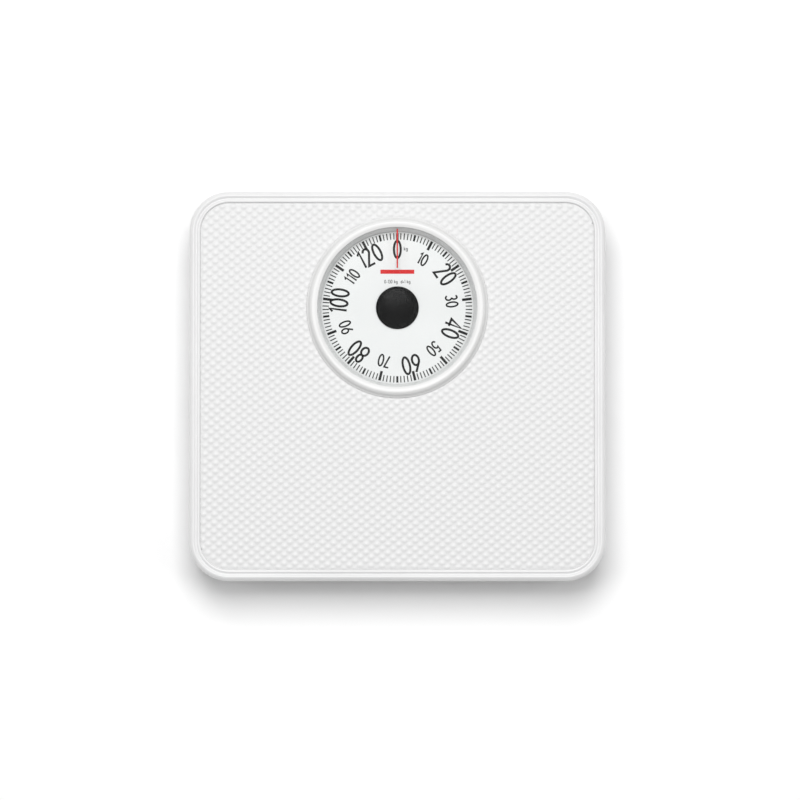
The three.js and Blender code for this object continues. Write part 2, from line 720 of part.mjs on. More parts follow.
function antiSlipMat() {
  const outline = roundedRectangle(MAT.width, MAT.depth, MAT.corner);
  return plate(outline, MAT.bottom, MAT.top, [circle(0, DIAL_Y, BEZEL.flange + GAP, RING_SIDES)]);
}

function dialBezel() {
  const { flange, skirt, lip, bottom, crown } = BEZEL;
  const groove = LENS.radius + GAP;
  const [grooveBottom, grooveTop] = [LENS.bottom - GAP, LENS.top + GAP];
  const outline = [[51.4, bottom], [skirt, bottom], [skirt, 45.3], [flange, 45.3], [flange, 47.4]];
  outline.push([59.5, 48.2], [58.5, 50.5], [57, crown], [55.2, crown - 0.1], [lip, 50.8]);
  outline.push([lip, grooveTop], [groove, grooveTop], [groove, grooveBottom]);
  outline.push([53.5, grooveBottom], [51.4, bottom]);
  return turned(outline, RING_SIDES).translate(0, DIAL_Y, 0);
}

function springTab() {
  const top = DECK.under - GAP;
  const hole = circle(0, TAB.high, TAB.hole, 12);
  const blade = sidePlate(rectangle(-5, 5, 33.5, top), BRACKET, [hole]);
  return join(blade, box(-8, 0, -5, 5, top - BRACKET, top));
}

// --------------------------------------------------------------------------------- model

const scale = new THREE.Group();

const base = new THREE.Group();
part(base, "base_pan", basePan(), whiteEnamel);
for (const { name, sideX, sideY } of CORNERS) {
  const rubberFoot = part(base, `foot_${name}`, foot(), blackRubber);
  rubberFoot.position.set(sideX * FOOT.x, sideY * FOOT.y, 0);
}
part(base, "dial_bridge", dialBridge(), zincSteel);
for (const [name, side] of [["left", -1], ["right", 1]]) {
  const screw = part(base, `bridge_screw_${name}`, bridgeScrew(), zincSteel);
  screw.position.set(side * BRIDGE_SCREW.x, DIAL_Y, 0);
  part(base, `platform_spring_${name}`, platformSpring(side), springSteel);
}
part(base, "spindle_bush", spindleBush(), brass).position.set(0, DIAL_Y, 0);
part(base, "spindle_cup", spindleCup(), brass).position.set(0, DIAL_Y, 0);
part(base, "rack_guide_pin", rackGuidePin(), zincSteel).position.set(GUIDE_PIN.x, DIAL_Y, 0);
part(base, "crank_bracket", crankBracket(), zincSteel);
part(base, "crank_pin", crankPin(), zincSteel);
part(base, "arm_bracket", armBracket(), zincSteel);
part(base, "arm_pin", armPin(), zincSteel);
part(base, "wheel_bracket", wheelBracket(), zincSteel);
part(base, "rack_spring_post", rackSpringPost(), zincSteel);
part(base, "main_spring", mainSpring(), springSteel);
part(base, "rack_spring", rackSpring(), springSteel);
scale.add(base);

for (const { name, sideX, sideY, long } of CORNERS) {
  const corner = cornerFrame(sideX, sideY);
  const side = sideX < 0 ? "left" : "right";
  part(corner, `fulcrum_${name}`, fulcrum(), zincSteel);
  part(corner, `fulcrum_rivet_${name}`, rivet(), zincSteel).position.set(RIVET.along, 0, 0);
  if (long) part(corner, `long_lever_${side}`, longLever(), zincSteel);
  else part(corner, `short_lever_${side}`, shortLever(), zincSteel);
  part(corner, `platform_foot_${name}`, platformFoot(), zincSteel);
  scale.add(corner);
}

const zeroSetting = new THREE.Group();
part(zeroSetting, "zero_wheel", zeroWheel(), greyPlastic);
part(zeroSetting, "zero_screw", rod(WHEEL.screw, SEAT, 39.5, WHEEL.x, WHEEL.y), zincSteel);
part(zeroSetting, "zero_arm", zeroArm(), zincSteel);
const nutBore = MAIN_SPRING.wire + 0.5;
part(zeroSetting, "spring_nut", washer(nutBore, 3.4, 37.6, 39.2, 6), brass).position.set(0, SPRING_Y, 0);
scale.add(zeroSetting);

const movement = new THREE.Group();
part(movement, "spring_plate", springPlate(), zincSteel);
part(movement, "spring_seat", washer(1.8, 4, PLATE.top + GAP, 17.9), brass).position.set(0, SPRING_Y, 0);
const crank = part(movement, "bell_crank", bellCrank(), zincSteel);
crank.position.set(0, CRANK.y, CRANK.z);
crank.rotation.x = CRANK.rest;
part(movement, "rack", rack(), brass);
part(movement, "pinion", pinion(), brass);
part(movement, "dial_spindle", rod(SPINDLE, 8.3, 41, 0, DIAL_Y), zincSteel);
part(movement, "dial_hub", dialHub(), brass).position.set(0, DIAL_Y, 0);
part(movement, "dial_disc", washer(3.3, DISC.radius, DISC.bottom, DISC.top, RING_SIDES), dialCard)
  .position.set(0, DIAL_Y, 0);
part(movement, "hub_cap", hubCap(), blackPlastic).position.set(0, DIAL_Y, 0);
scale.add(movement);

const platform = new THREE.Group();
part(platform, "platform_cover", platformCover(), whiteEnamel);
part(platform, "anti_slip_mat", antiSlipMat(), matVinyl);
part(platform, "dial_bezel", dialBezel(), whitePlastic);
part(platform, "bezel_ring", washer(56.8, 60, BEZEL.bottom, DECK.under - GAP, RING_SIDES), whitePlastic)
  .position.set(0, DIAL_Y, 0);
part(platform, "dial_window", rod(LENS.radius, LENS.bottom, LENS.top, 0, DIAL_Y, RING_SIDES), clearPlastic);
part(platform, "pointer", box(-0.4, 0.4, DIAL_Y + 26.5, DIAL_Y + 52.8, 46.9, 47.6), redPlastic);
for (const [name, side] of [["left", -1], ["right", 1]]) {
  const tab = part(platform, `spring_tab_${name}`, springTab(), zincSteel);
  tab.position.x = side * TAB.x;
  tab.rotation.z = side < 0 ? Math.PI : 0;
}
scale.add(platform);

export default scale;
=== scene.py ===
"""Mechanical dial bathroom scale: the visual model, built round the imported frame.

Metres, +Z up, +Y towards the dial end, origin under the middle of the body on the floor.
"""

import json
import math

import bmesh
import bpy
from mathutils import Matrix, Vector, geometry


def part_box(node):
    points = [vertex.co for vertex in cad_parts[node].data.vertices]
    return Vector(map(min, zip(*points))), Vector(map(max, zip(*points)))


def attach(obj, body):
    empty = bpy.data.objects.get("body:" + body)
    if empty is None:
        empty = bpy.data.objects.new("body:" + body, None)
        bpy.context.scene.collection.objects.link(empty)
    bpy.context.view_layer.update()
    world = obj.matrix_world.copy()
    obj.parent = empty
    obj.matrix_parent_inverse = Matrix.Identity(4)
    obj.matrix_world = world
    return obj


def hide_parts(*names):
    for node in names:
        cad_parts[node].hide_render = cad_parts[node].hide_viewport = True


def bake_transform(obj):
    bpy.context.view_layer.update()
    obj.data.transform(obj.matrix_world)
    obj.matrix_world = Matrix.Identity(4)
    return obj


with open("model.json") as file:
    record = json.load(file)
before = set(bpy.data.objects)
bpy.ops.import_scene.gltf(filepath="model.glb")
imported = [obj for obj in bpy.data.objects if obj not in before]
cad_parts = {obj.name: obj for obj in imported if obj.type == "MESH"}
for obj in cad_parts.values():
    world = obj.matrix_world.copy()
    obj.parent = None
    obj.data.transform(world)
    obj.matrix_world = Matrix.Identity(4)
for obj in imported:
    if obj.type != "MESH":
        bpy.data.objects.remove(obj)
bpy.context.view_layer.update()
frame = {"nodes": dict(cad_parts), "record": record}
scene = bpy.context.scene
MM = 0.001

# ---- places taken from the frame

COVER_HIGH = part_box("platform_cover")[1]
PAN_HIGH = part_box("base_pan")[1]
BEZEL_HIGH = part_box("dial_bezel")[1]
MAT_LOW, MAT_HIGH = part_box("anti_slip_mat")
DISC_LOW, DISC_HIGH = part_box("dial_disc")
LENS_LOW, LENS_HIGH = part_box("dial_window")
CAP_LOW, CAP_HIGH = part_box("hub_cap")
POINTER_LOW, POINTER_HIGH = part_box("pointer")
WHEEL_LOW, WHEEL_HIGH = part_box("zero_wheel")

DIAL = (DISC_LOW + DISC_HIGH) / 2
DIAL_AXIS = (DIAL.x, DIAL.y)
CORNER_PLACES = ("front_left", "front_right", "rear_left", "rear_right")
COVER_CORNER = 27 * MM
MAT_CORNER = 19 * MM
PAN_CORNER = 22 * MM
SHEET = 0.8 * MM
DECK_TOP = 45 * MM
DECK_UNDER = DECK_TOP - SHEET
DECK_OPENING = 57 * MM
DOME_HEIGHT = 0.6 * MM
SPRING_POST_X = 112 * MM


def middle(node):
    low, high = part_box(node)
    return (low + high) / 2


# ---- mesh helpers

def new_piece(name, points, faces, sharp=32):
    """A mesh object, smooth except across edges that turn by more than the angle in degrees."""
    mesh = bpy.data.meshes.new(name)
    mesh.from_pydata([tuple(p) for p in points], [], faces)
    shell = bmesh.new()
    shell.from_mesh(mesh)
    bmesh.ops.recalc_face_normals(shell, faces=shell.faces)
    shell.to_mesh(mesh)
    shell.free()
    smooth_shading(mesh, sharp)
    piece = bpy.data.objects.new(name, mesh)
    scene.collection.objects.link(piece)
    return piece


def smooth_shading(mesh, sharp):
    mesh.polygons.foreach_set("use_smooth", [True] * len(mesh.polygons))
    mesh.set_sharp_from_angle(angle=math.radians(sharp))


def bands(rows, count, closed):
    """Faces between rings of equal count. Closed ones also join the last ring to the first."""
    faces = []
    for r in range(rows if closed else rows - 1):
        a, b = r * count, (r + 1) % rows * count
        for i in range(count):
            j = (i + 1) % count
            faces.append((a + i, a + j, b + j, b + i))
    return faces


def skin(rings):
    """Points and faces of a closed tube of skin over rings, from the last back to the first."""
    return [p for ring in rings for p in ring], bands(len(rings), len(rings[0]), closed=True)


def lidded(rings):
    """Points and faces of a solid over rings, with a flat lid on its first and last ring."""
    count = len(rings[0])
    points = [p for ring in rings for p in ring]
    faces = bands(len(rings), count, closed=False)
    faces.append(tuple(range(count)))
    faces.append(tuple(range(len(points) - count, len(points))))
    return points, faces


NEARLY_STRAIGHT = math.radians(179)
LONGEST_REACH = 0.48


def rounded(corners, steps=6):
    """A closed outline with its corners rounded. Each corner is (across, up, radius), and its
    arc takes less than half of each side beside it."""
    outline = []
    for i, (across, up, radius) in enumerate(corners):
        here = Vector((across, up))
        before = Vector(corners[i - 1][:2]) - here
        after = Vector(corners[(i + 1) % len(corners)][:2]) - here
        angle = before.angle(after)
        if radius == 0 or angle > NEARLY_STRAIGHT:
            outline.append(here)
            continue
        shortest = min(before.length, after.length)
        reach = min(radius / math.tan(angle / 2), LONGEST_REACH * shortest)
        radius = reach * math.tan(angle / 2)
        centre = here + (before.normalized() + after.normalized()).normalized() * (
            radius / math.sin(angle / 2))
        start = here + before.normalized() * reach - centre
        end = here + after.normalized() * reach - centre
        turn = math.pi - angle
        side = 1 if start.x * end.y - start.y * end.x > 0 else -1
        for k in range(steps + 1):
            a = side * turn * k / steps
            spoke = (start.x * math.cos(a) - start.y * math.sin(a),
                     start.x * math.sin(a) + start.y * math.cos(a))
            outline.append(centre + Vector(spoke))
    return outline


def circle(centre, radius, sides, z):
    angles = [2 * math.pi * i / sides for i in range(sides)]
    return [(centre[0] + radius * math.cos(a), centre[1] + radius * math.sin(a), z)
            for a in angles]


def turned(name, corners, centre, segments=128, steps=6, sharp=32):
    """A turned piece. Its closed outline of (radius, height, rounding) in millimetres may touch
    the axis at its first and last corners."""
    outline = [p * MM for p in rounded(corners, steps)]
    on_axis = corners[0][0] == 0
    body = outline[1:-1] if on_axis else outline
    points = [p for spot in body for p in circle(centre, spot.x, segments, spot.y)]
    faces = bands(len(body), segments, closed=not on_axis)
    if on_axis:
        for pole, first in ((outline[0], 0), (outline[-1], (len(body) - 1) * segments)):
            points.append((*centre, pole.y))
            for i in range(segments):
                faces.append((first + i, first + (i + 1) % segments, len(points) - 1))
    return new_piece(name, points, faces, sharp)


def rounded_rectangle(half_x, half_y, radius, steps=24, side_parts=1):
    """Its corners have the given steps, and each straight side is split into equal parts."""
    corners = []
    for quarter, (side_x, side_y) in enumerate(((1, 1), (-1, 1), (-1, -1), (1, -1))):
        angles = [(quarter + i / steps) * math.pi / 2 for i in range(steps + 1)]
        corners.append([(side_x * (half_x - radius) + radius * math.cos(a),
                         side_y * (half_y - radius) + radius * math.sin(a)) for a in angles])
    points = []
    for quarter, corner in enumerate(corners):
        start, end = corner[-1], corners[(quarter + 1) % 4][0]
        points += corner
        for k in range(1, side_parts):
            share = k / side_parts
            points.append((start[0] + (end[0] - start[0]) * share,
                           start[1] + (end[1] - start[1]) * share))
    return points


def inset_ring(half_x, half_y, corner, inset, z, steps=24, side_parts=1):
    outline = rounded_rectangle(half_x - inset, half_y - inset, corner - inset, steps, side_parts)
    return [(x, y, z) for x, y in outline]


def spline(points, steps):
    """Points on a smooth centripetal curve through the given ones, steps to each span."""
    ends = [points[0] * 2 - points[1], *points, points[-1] * 2 - points[-2]]
    path = []
    for i in range(1, len(ends) - 2):
        p0, p1, p2, p3 = ends[i - 1:i + 3]
        t1 = (p1 - p0).length ** 0.5
        t2 = t1 + (p2 - p1).length ** 0.5
        t3 = t2 + (p3 - p2).length ** 0.5
        for k in range(steps):
            t = t1 + (t2 - t1) * k / steps
            a1 = p0 * ((t1 - t) / t1) + p1 * (t / t1)
            a2 = p1 * ((t2 - t) / (t2 - t1)) + p2 * ((t - t1) / (t2 - t1))
            a3 = p2 * ((t3 - t) / (t3 - t2)) + p3 * ((t - t2) / (t3 - t2))
            b1 = a1 * ((t2 - t) / t2) + a2 * (t / t2)
            b2 = a2 * ((t3 - t) / (t3 - t1)) + a3 * ((t - t1) / (t3 - t1))
            path.append(b1 * ((t2 - t) / (t2 - t1)) + b2 * ((t - t1) / (t2 - t1)))
    path.append(points[-1].copy())
    return path


def tube(name, path, radius, sides=14):
    """A round wire along a path, with its ends closed."""
    rings = []
    along = (path[1] - path[0]).normalized()
    across = along.orthogonal().normalized()
    for i, p in enumerate(path):
        ahead = path[min(i + 1, len(path) - 1)] - path[max(i - 1, 0)]
        turn = along.rotation_difference(ahead.normalized())
        across = (turn @ across).normalized()
        along = ahead.normalized()
        third = along.cross(across)
        rings.append([p + (across * math.cos(a) + third * math.sin(a)) * radius
                      for a in (2 * math.pi * k / sides for k in range(sides))])
    return new_piece(name, *lidded(rings), sharp=40)


def finish_piece(piece, body, slot, *nodes, material=None):
    """The piece rides on its body, takes its slot and material, and stands for those nodes."""
    piece.data.materials.clear()
    piece.data.materials.append(material or MATERIALS[slot])
    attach(piece, body)
    if nodes:
        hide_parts(*nodes)
    return piece


# ---- materials

class Surface:
    """A procedural material being put together round one Principled shader."""

    def __init__(self, name, roughness, metallic=0.0, specular=0.5):
        self.material = bpy.data.materials.new(name)
        self.material.use_nodes = True
        self.tree = self.material.node_tree
        self.shader = self.tree.nodes["Principled BSDF"]
        self.shader.inputs["Roughness"].default_value = roughness
        self.shader.inputs["Metallic"].default_value = metallic
        self.shader.inputs["Specular IOR Level"].default_value = specular
        self.place = self.node("TexCoord").outputs["Object"]

    def node(self, kind, **settings):
        """A new node. A setting is an input's number or colour, or the socket that feeds it."""
        node = self.tree.nodes.new("ShaderNode" + kind)
        for name, value in settings.items():
            self.feed(node.inputs[name.replace("_", " ")], value)
        return node

    def feed(self, socket, value):
        if isinstance(value, bpy.types.NodeSocket):
            self.tree.links.new(value, socket)
        else:
            socket.default_value = value

    def noise(self, scale, detail, stretch=(1, 1, 1)):
        """Cloudy noise of about that many lumps to the metre, along axes that may be stretched."""
        place = self.node("Mapping", Vector=self.place, Scale=stretch).outputs["Vector"]
        return self.node("TexNoise", Vector=place, Scale=scale, Detail=detail).outputs["Fac"]

    def cells(self, scale):
        """Random grey patches, about that many to the metre."""
        patches = self.node("TexVoronoi", Vector=self.place, Scale=scale).outputs["Color"]
        return self.node("SeparateColor", Color=patches).outputs["Red"]

    def height(self, low, high):
        """From 0 at the low height to 1 at the high one, in the object's own coordinates."""
        up = self.node("SeparateXYZ", Vector=self.place).outputs["Z"]
        return self.node("MapRange", Value=up, From_Min=low, From_Max=high).outputs["Result"]

    def colour(self, factor, low, high, start=0.35, end=0.65):
        """From one colour to the other as the factor goes from the start to the end."""
        ramp = self.node("ValToRGB", Fac=factor)
        first, second = ramp.color_ramp.elements
        first.position, second.position = start, end
        first.color, second.color = (*low, 1), (*high, 1)
        self.feed(self.shader.inputs["Base Color"], ramp.outputs["Color"])
        return self

    def gloss(self, factor, low, high):
        """Roughness between the two values."""
        spread = self.node("MapRange", Value=factor, To_Min=low, To_Max=high)
        self.feed(self.shader.inputs["Roughness"], spread.outputs["Result"])
        return self

    def relief(self, factor, depth, strength):
        """Bumps of the given depth in metres."""
        bump = self.node("Bump", Height=factor, Distance=depth, Strength=strength)
        self.feed(self.shader.inputs["Normal"], bump.outputs["Normal"])
        return self


def grey(level):
    return (level, level, level)


def white_enamel():
    """Stoved gloss enamel: a faint orange peel and cloudy gloss."""
    paint = Surface("white_enamel", 0.3, specular=0.5)
    paint.colour(paint.noise(14, 4), grey(0.75), grey(0.78))
    paint.gloss(paint.noise(25, 2), 0.27, 0.33)
    return paint.relief(paint.noise(160, 1), 0.006 * MM, 0.4).material


def white_plastic():
    """Glossy moulded plastic with a very fine moulded skin."""
    plastic = Surface("white_plastic", 0.3, specular=0.45)
    plastic.colour(plastic.noise(20, 3), (0.75, 0.75, 0.745), (0.78, 0.78, 0.775))
    plastic.gloss(plastic.noise(40, 2), 0.27, 0.33)
    return plastic.relief(plastic.noise(900, 1), 0.003 * MM, 0.4).material


def mat_vinyl():
    """Soft vinyl with a leathery grain and painted shade, greyer in the hollows between the domes.
    """
    vinyl = Surface("mat_vinyl", 0.4, specular=0.4)
    height = vinyl.height(MAT_HIGH.z - DOME_HEIGHT, MAT_HIGH.z)
    # Painted shade: the colour is darker low in the hollows and lighter on the dome tops.
    vinyl.colour(height, grey(0.695), grey(0.745), 0.1, 0.9)
    vinyl.gloss(vinyl.noise(150, 3), 0.36, 0.44)
    return vinyl.relief(vinyl.noise(1900, 3), 0.03 * MM, 0.5).material


def dial_card():
    card = Surface("dial_card", 0.5, specular=0.3)
    card.colour(card.noise(30, 4), (0.77, 0.77, 0.765), (0.79, 0.79, 0.785))
    return card.relief(card.noise(2600, 2), 0.006 * MM, 0.4).material


def printed_ink(name, low, high):
    """Screen-printed ink, a little uneven in density."""
    ink = Surface(name, 0.6, specular=0.12)
    ink.colour(ink.noise(900, 3), low, high)
    return ink.relief(ink.noise(3000, 2), 0.004 * MM, 0.4).material


def black_plastic():
    """Satin black moulded plastic with a fine spark-eroded skin."""
    plastic = Surface("black_plastic", 0.3, specular=0.04)
    plastic.colour(plastic.noise(200, 3), grey(0.002), grey(0.004))
    plastic.gloss(plastic.noise(500, 3), 0.22, 0.28)
    return plastic.relief(plastic.noise(3500, 2), 0.008 * MM, 0.5).material


def red_plastic():
    plastic = Surface("red_plastic", 0.4, specular=0.2)
    plastic.colour(plastic.noise(400, 3), (0.56, 0.004, 0.006), (0.66, 0.008, 0.010))
    return plastic.relief(plastic.noise(3000, 2), 0.004 * MM, 0.4).material


def grey_plastic():
    plastic = Surface("grey_plastic", 0.55, specular=0.35)
    plastic.colour(plastic.noise(160, 4), (0.13, 0.135, 0.14), (0.17, 0.175, 0.18))
    return plastic.relief(plastic.noise(2400, 3), 0.03 * MM, 0.6).material


def black_rubber():
    """Matt rubber with a dusty bloom and a slightly pitted skin."""
    rubber = Surface("black_rubber", 0.8, specular=0.25)
    rubber.colour(rubber.noise(120, 5), grey(0.018), grey(0.045))
    rubber.gloss(rubber.noise(300, 4), 0.68, 0.9)
    return rubber.relief(rubber.noise(1500, 4), 0.06 * MM, 0.7).material


def zinc_steel():
    """Zinc plate: a faint spangle, drawing marks and clouded gloss."""
    zinc = Surface("zinc_steel", 0.38, metallic=1.0)
    zinc.colour(zinc.cells(260), (0.50, 0.51, 0.53), (0.66, 0.67, 0.69), 0.1, 0.9)
    zinc.gloss(zinc.noise(90, 4), 0.28, 0.5)
    return zinc.relief(zinc.noise(240, 3, (1, 12, 1)), 0.02 * MM, 0.5).material


def spring_steel():
    """Oil-blackened drawn wire."""
    steel = Surface("spring_steel", 0.3, metallic=1.0)
    steel.colour(steel.noise(300, 4), (0.22, 0.22, 0.23), (0.38, 0.38, 0.39))
    steel.gloss(steel.noise(200, 3), 0.22, 0.4)
    return steel.relief(steel.noise(900, 3, (1, 1, 6)), 0.01 * MM, 0.5).material


def brass():
    """Turned and punched brass, lightly tarnished."""
    metal = Surface("brass", 0.3, metallic=1.0)
    metal.colour(metal.noise(180, 5), (0.50, 0.34, 0.12), (0.74, 0.56, 0.24))
    metal.gloss(metal.noise(220, 4), 0.22, 0.42)
    return metal.relief(metal.noise(700, 3, (1, 1, 8)), 0.01 * MM, 0.5).material


def clear_plastic():
    """Clear acrylic: see-through, with a polished face that reflects a little."""
    material = bpy.data.materials.new("clear_plastic")
    material.use_nodes = True
    tree = material.node_tree
    tree.nodes.remove(tree.nodes["Principled BSDF"])
    output = tree.nodes["Material Output"]
    through = tree.nodes.new("ShaderNodeBsdfTransparent")
    through.inputs["Color"].default_value = (0.985, 0.99, 0.99, 1)
    polish = tree.nodes.new("ShaderNodeBsdfGlossy")
    polish.inputs["Color"].default_value = (1, 1, 1, 1)
    polish.inputs["Roughness"].default_value = 0.15
    mix = tree.nodes.new("ShaderNodeMixShader")
    mix.inputs["Fac"].default_value = 0.004
    tree.links.new(through.outputs["BSDF"], mix.inputs[1])
    tree.links.new(polish.outputs["BSDF"], mix.inputs[2])
    tree.links.new(mix.outputs["Shader"], output.inputs["Surface"])
    return material


MATERIALS = {
    "white_enamel": white_enamel(),
    "white_plastic": white_plastic(),
    "mat_vinyl": mat_vinyl(),
    "dial_card": dial_card(),
    "clear_plastic": clear_plastic(),
    "black_plastic": black_plastic(),
    "red_plastic": red_plastic(),
    "grey_plastic": grey_plastic(),
    "black_rubber": black_rubber(),
    "zinc_steel": zinc_steel(),
    "spring_steel": spring_steel(),
    "brass": brass(),
}
INK_BLACK = printed_ink("ink_black", grey(0.004), grey(0.009))
INK_GREY = printed_ink("ink_grey", grey(0.05), grey(0.09))
INK_RED = printed_ink("ink_red", (0.58, 0.010, 0.012), (0.68, 0.018, 0.018))


# ---- platform cover

# The pressed rim's two faces, as (inset from the outline, height, rounding) in millimetres. The
# outside goes up the skirt, over the outer ridge, the valley and the inner bead, then down to the
# deck. The inside goes back the same way.
RIM_STEPS = 5
RIM_SIDE_PARTS = 30
RIM_OUTSIDE = [
    (1.0, 15.0, 0.25), (0.0, 41.0, 20), (0.1, 44.4, 2.4), (1.2, 46.7, 2.2), (2.8, 47.9, 1.8),
    (3.8, 47.3, 1.2), (4.8, 46.35, 0.8), (5.6, 47.1, 0.7), (6.3, 47.65, 0.7),
    (7.2, 47.4, 0.6), (7.6, 46.4, 0.6), (7.6, 45.0, 0.3),
]
RIM_INSIDE = [
    (6.8, 44.2, 0.3), (6.8, 45.8, 0.6), (6.2, 46.4, 0.5), (4.8, 45.4, 0.8), (2.9, 46.9, 1.2),
    (1.6, 45.8, 1.6), (0.9, 43.0, 4), (1.8, 15.0, 0.25),
]


def dial_direction(ring, z):
    """The deck's opening, with one point in line with each point of the ring."""
    points = []
    for x, y, _ in ring:
        spoke = Vector((x - DIAL.x, y - DIAL.y)).normalized() * DECK_OPENING
        points.append((DIAL.x + spoke.x, DIAL.y + spoke.y, z))
    return points


def platform_cover():
    """The rim's section runs round the outline, and the deck reaches from its ends to the dial."""
    section = rounded(RIM_OUTSIDE + RIM_INSIDE, RIM_STEPS)
    rings = [inset_ring(COVER_HIGH.x, COVER_HIGH.y, COVER_CORNER, p.x * MM, p.y * MM,
                        side_parts=RIM_SIDE_PARTS) for p in section]
    deck = len(RIM_OUTSIDE) * (RIM_STEPS + 1)
    rings = rings[deck:] + rings[:deck]
    rings.append(dial_direction(rings[-1], DECK_TOP))
    rings.append(dial_direction(rings[0], DECK_UNDER))
    piece = new_piece("platform_cover_skin", *skin(rings), sharp=40)
    return finish_piece(piece, "platform", "white_enamel", "platform_cover")


# ---- anti-slip mat

DOME_PITCH_X = 7.32 * MM
DOME_PITCH_Y = 5.76 * MM
DOME_HALF_X = 2.25 * MM
DOME_HALF_Y = 1.82 * MM
DOME_SAMPLES = 8
LATTICE_TURN = math.radians(-1.4)
MAT_OPENING = BEZEL_HIGH.x + 0.06 * MM
PLAIN_RING = 1.6 * MM
MAT_HALF_X = MAT_HIGH.x + 0.28 * MM
MAT_HALF_Y = MAT_HIGH.y + 0.28 * MM
RIM_MARGIN = 1.5 * MM
RIM_DIP = 0.35 * MM
GRID_MARGIN = 0.45 * MM
BORDER_SPACING = 0.9 * MM
OPENING_SIDES = 440
EDGE_SLACK = 1e-6
MERGE_DISTANCE = 1e-9


def eased(share):
    """From 0 to 1 with a soft start and end."""
    share = min(max(share, 0), 1)
    return share * share * (3 - 2 * share)


def to_lattice(x, y):
    c, s = math.cos(LATTICE_TURN), math.sin(LATTICE_TURN)
    return x * c + y * s, y * c - x * s


def from_lattice(u, v):
    c, s = math.cos(LATTICE_TURN), math.sin(LATTICE_TURN)
    return u * c - v * s, v * c + u * s


def dome(x, y):
    """How high the nearest dome stands at a point, from 0 to 1."""
    u, v = to_lattice(x, y)
    best = 0.0
    for shift in (0.0, 0.5):
        a = u / DOME_PITCH_X - shift
        b = v / DOME_PITCH_Y - shift
        a = (a - round(a)) * DOME_PITCH_X / DOME_HALF_X
        b = (b - round(b)) * DOME_PITCH_Y / DOME_HALF_Y
        best = max(best, 1 - a * a - b * b)
    return eased(best)


def room_to_rim(x, y):
    """Distance from a point to the mat's outline: positive inside it."""
    dx, dy = abs(x) - (MAT_HALF_X - MAT_CORNER), abs(y) - (MAT_HALF_Y - MAT_CORNER)
    return MAT_CORNER - math.hypot(max(dx, 0), max(dy, 0)) - min(max(dx, dy), 0)


def room_to_bezel(x, y):
    return math.hypot(x - DIAL.x, y - DIAL.y) - MAT_OPENING


def room_in_mat(x, y):
    return min(room_to_rim(x, y), room_to_bezel(x, y))


def mat_height(x, y):
    """Domes that fade out beside the bezel and beside the rim, where the mat also dips."""
    margin = eased(room_to_rim(x, y) / RIM_MARGIN)
    raised = dome(x, y) * margin * eased(room_to_bezel(x, y) / PLAIN_RING)
    return MAT_HIGH.z - DOME_HEIGHT * (1 - raised) - RIM_DIP * (1 - margin)


def mat_grid():
    """Lattice-aligned points on the mat, by their grid place, and the squares between them."""
    step_u, step_v = DOME_PITCH_X / DOME_SAMPLES, DOME_PITCH_Y / DOME_SAMPLES
    reach = MAT_HIGH.length * 1.05
    cols, rows = int(reach / step_u), int(reach / step_v)
    inside = {}
    for i in range(-cols, cols + 1):
        for j in range(-rows, rows + 1):
            x, y = from_lattice(i * step_u, j * step_v)
            if abs(x) < MAT_HALF_X and abs(y) < MAT_HALF_Y and room_in_mat(x, y) > GRID_MARGIN:
                inside[i, j] = (x, y)
    squares = [(i, j) for i, j in inside
               if (i + 1, j) in inside and (i, j + 1) in inside and (i + 1, j + 1) in inside]
    return inside, squares, (step_u, step_v)


def grid_edges(squares):
    """The edges that only one square has: the rim of the grid."""
    seen = {}
    for i, j in squares:
        ring = [(i, j), (i + 1, j), (i + 1, j + 1), (i, j + 1)]
        for k in range(4):
            edge = frozenset((ring[k], ring[(k + 1) % 4]))
            seen[edge] = seen.get(edge, 0) + 1
    return [tuple(edge) for edge, count in seen.items() if count == 1]


def loop_edges(first, count):
    return [(first + i, first + (i + 1) % count) for i in range(count)]


def border_strip(inside, squares, steps):
    """Triangles from the rim of the grid to the mat's outline and its opening. Returns the rim's
    grid places, the flat points, the triangles, and the points of the two loops."""
    rim = grid_edges(squares)
    rim_points = sorted({p for edge in rim for p in edge})
    number = {p: k for k, p in enumerate(rim_points)}
    flat = [Vector(inside[p]) for p in rim_points]
    edges = [(number[a], number[b]) for a, b in rim]
    outline = dense(rounded_rectangle(MAT_HALF_X, MAT_HALF_Y, MAT_CORNER), BORDER_SPACING)
    opening = circle(DIAL_AXIS, MAT_OPENING, OPENING_SIDES, 0)
    loops = []
    for loop in (outline, opening):
        first = len(flat)
        flat += [Vector(p[:2]) for p in loop]
        edges += loop_edges(first, len(loop))
        loops.append(range(first, first + len(loop)))
    corners, _, faces, *_ = geometry.delaunay_2d_cdt(flat, edges, [], 0, MERGE_DISTANCE, False)
    assert len(corners) == len(flat), "the mat's outline crosses its grid"
    filled = set(squares)
    kept = []
    for face in faces:
        x = sum(corners[v].x for v in face) / 3
        y = sum(corners[v].y for v in face) / 3
        u, v = to_lattice(x, y)
        square = (math.floor(u / steps[0]), math.floor(v / steps[1]))
        if room_in_mat(x, y) > -EDGE_SLACK and square not in filled:
            kept.append(tuple(face))
    return rim_points, [tuple(p) for p in corners], kept, loops


def dense(outline, spacing):
    """The same outline with points added along its long straight sides."""
    points = []
    for i, here in enumerate(outline):
        ahead = outline[(i + 1) % len(outline)]
        parts = max(1, math.ceil(math.dist(here, ahead) / spacing))
        for k in range(parts):
            points.append((here[0] + (ahead[0] - here[0]) * k / parts,
                           here[1] + (ahead[1] - here[1]) * k / parts))
    return points


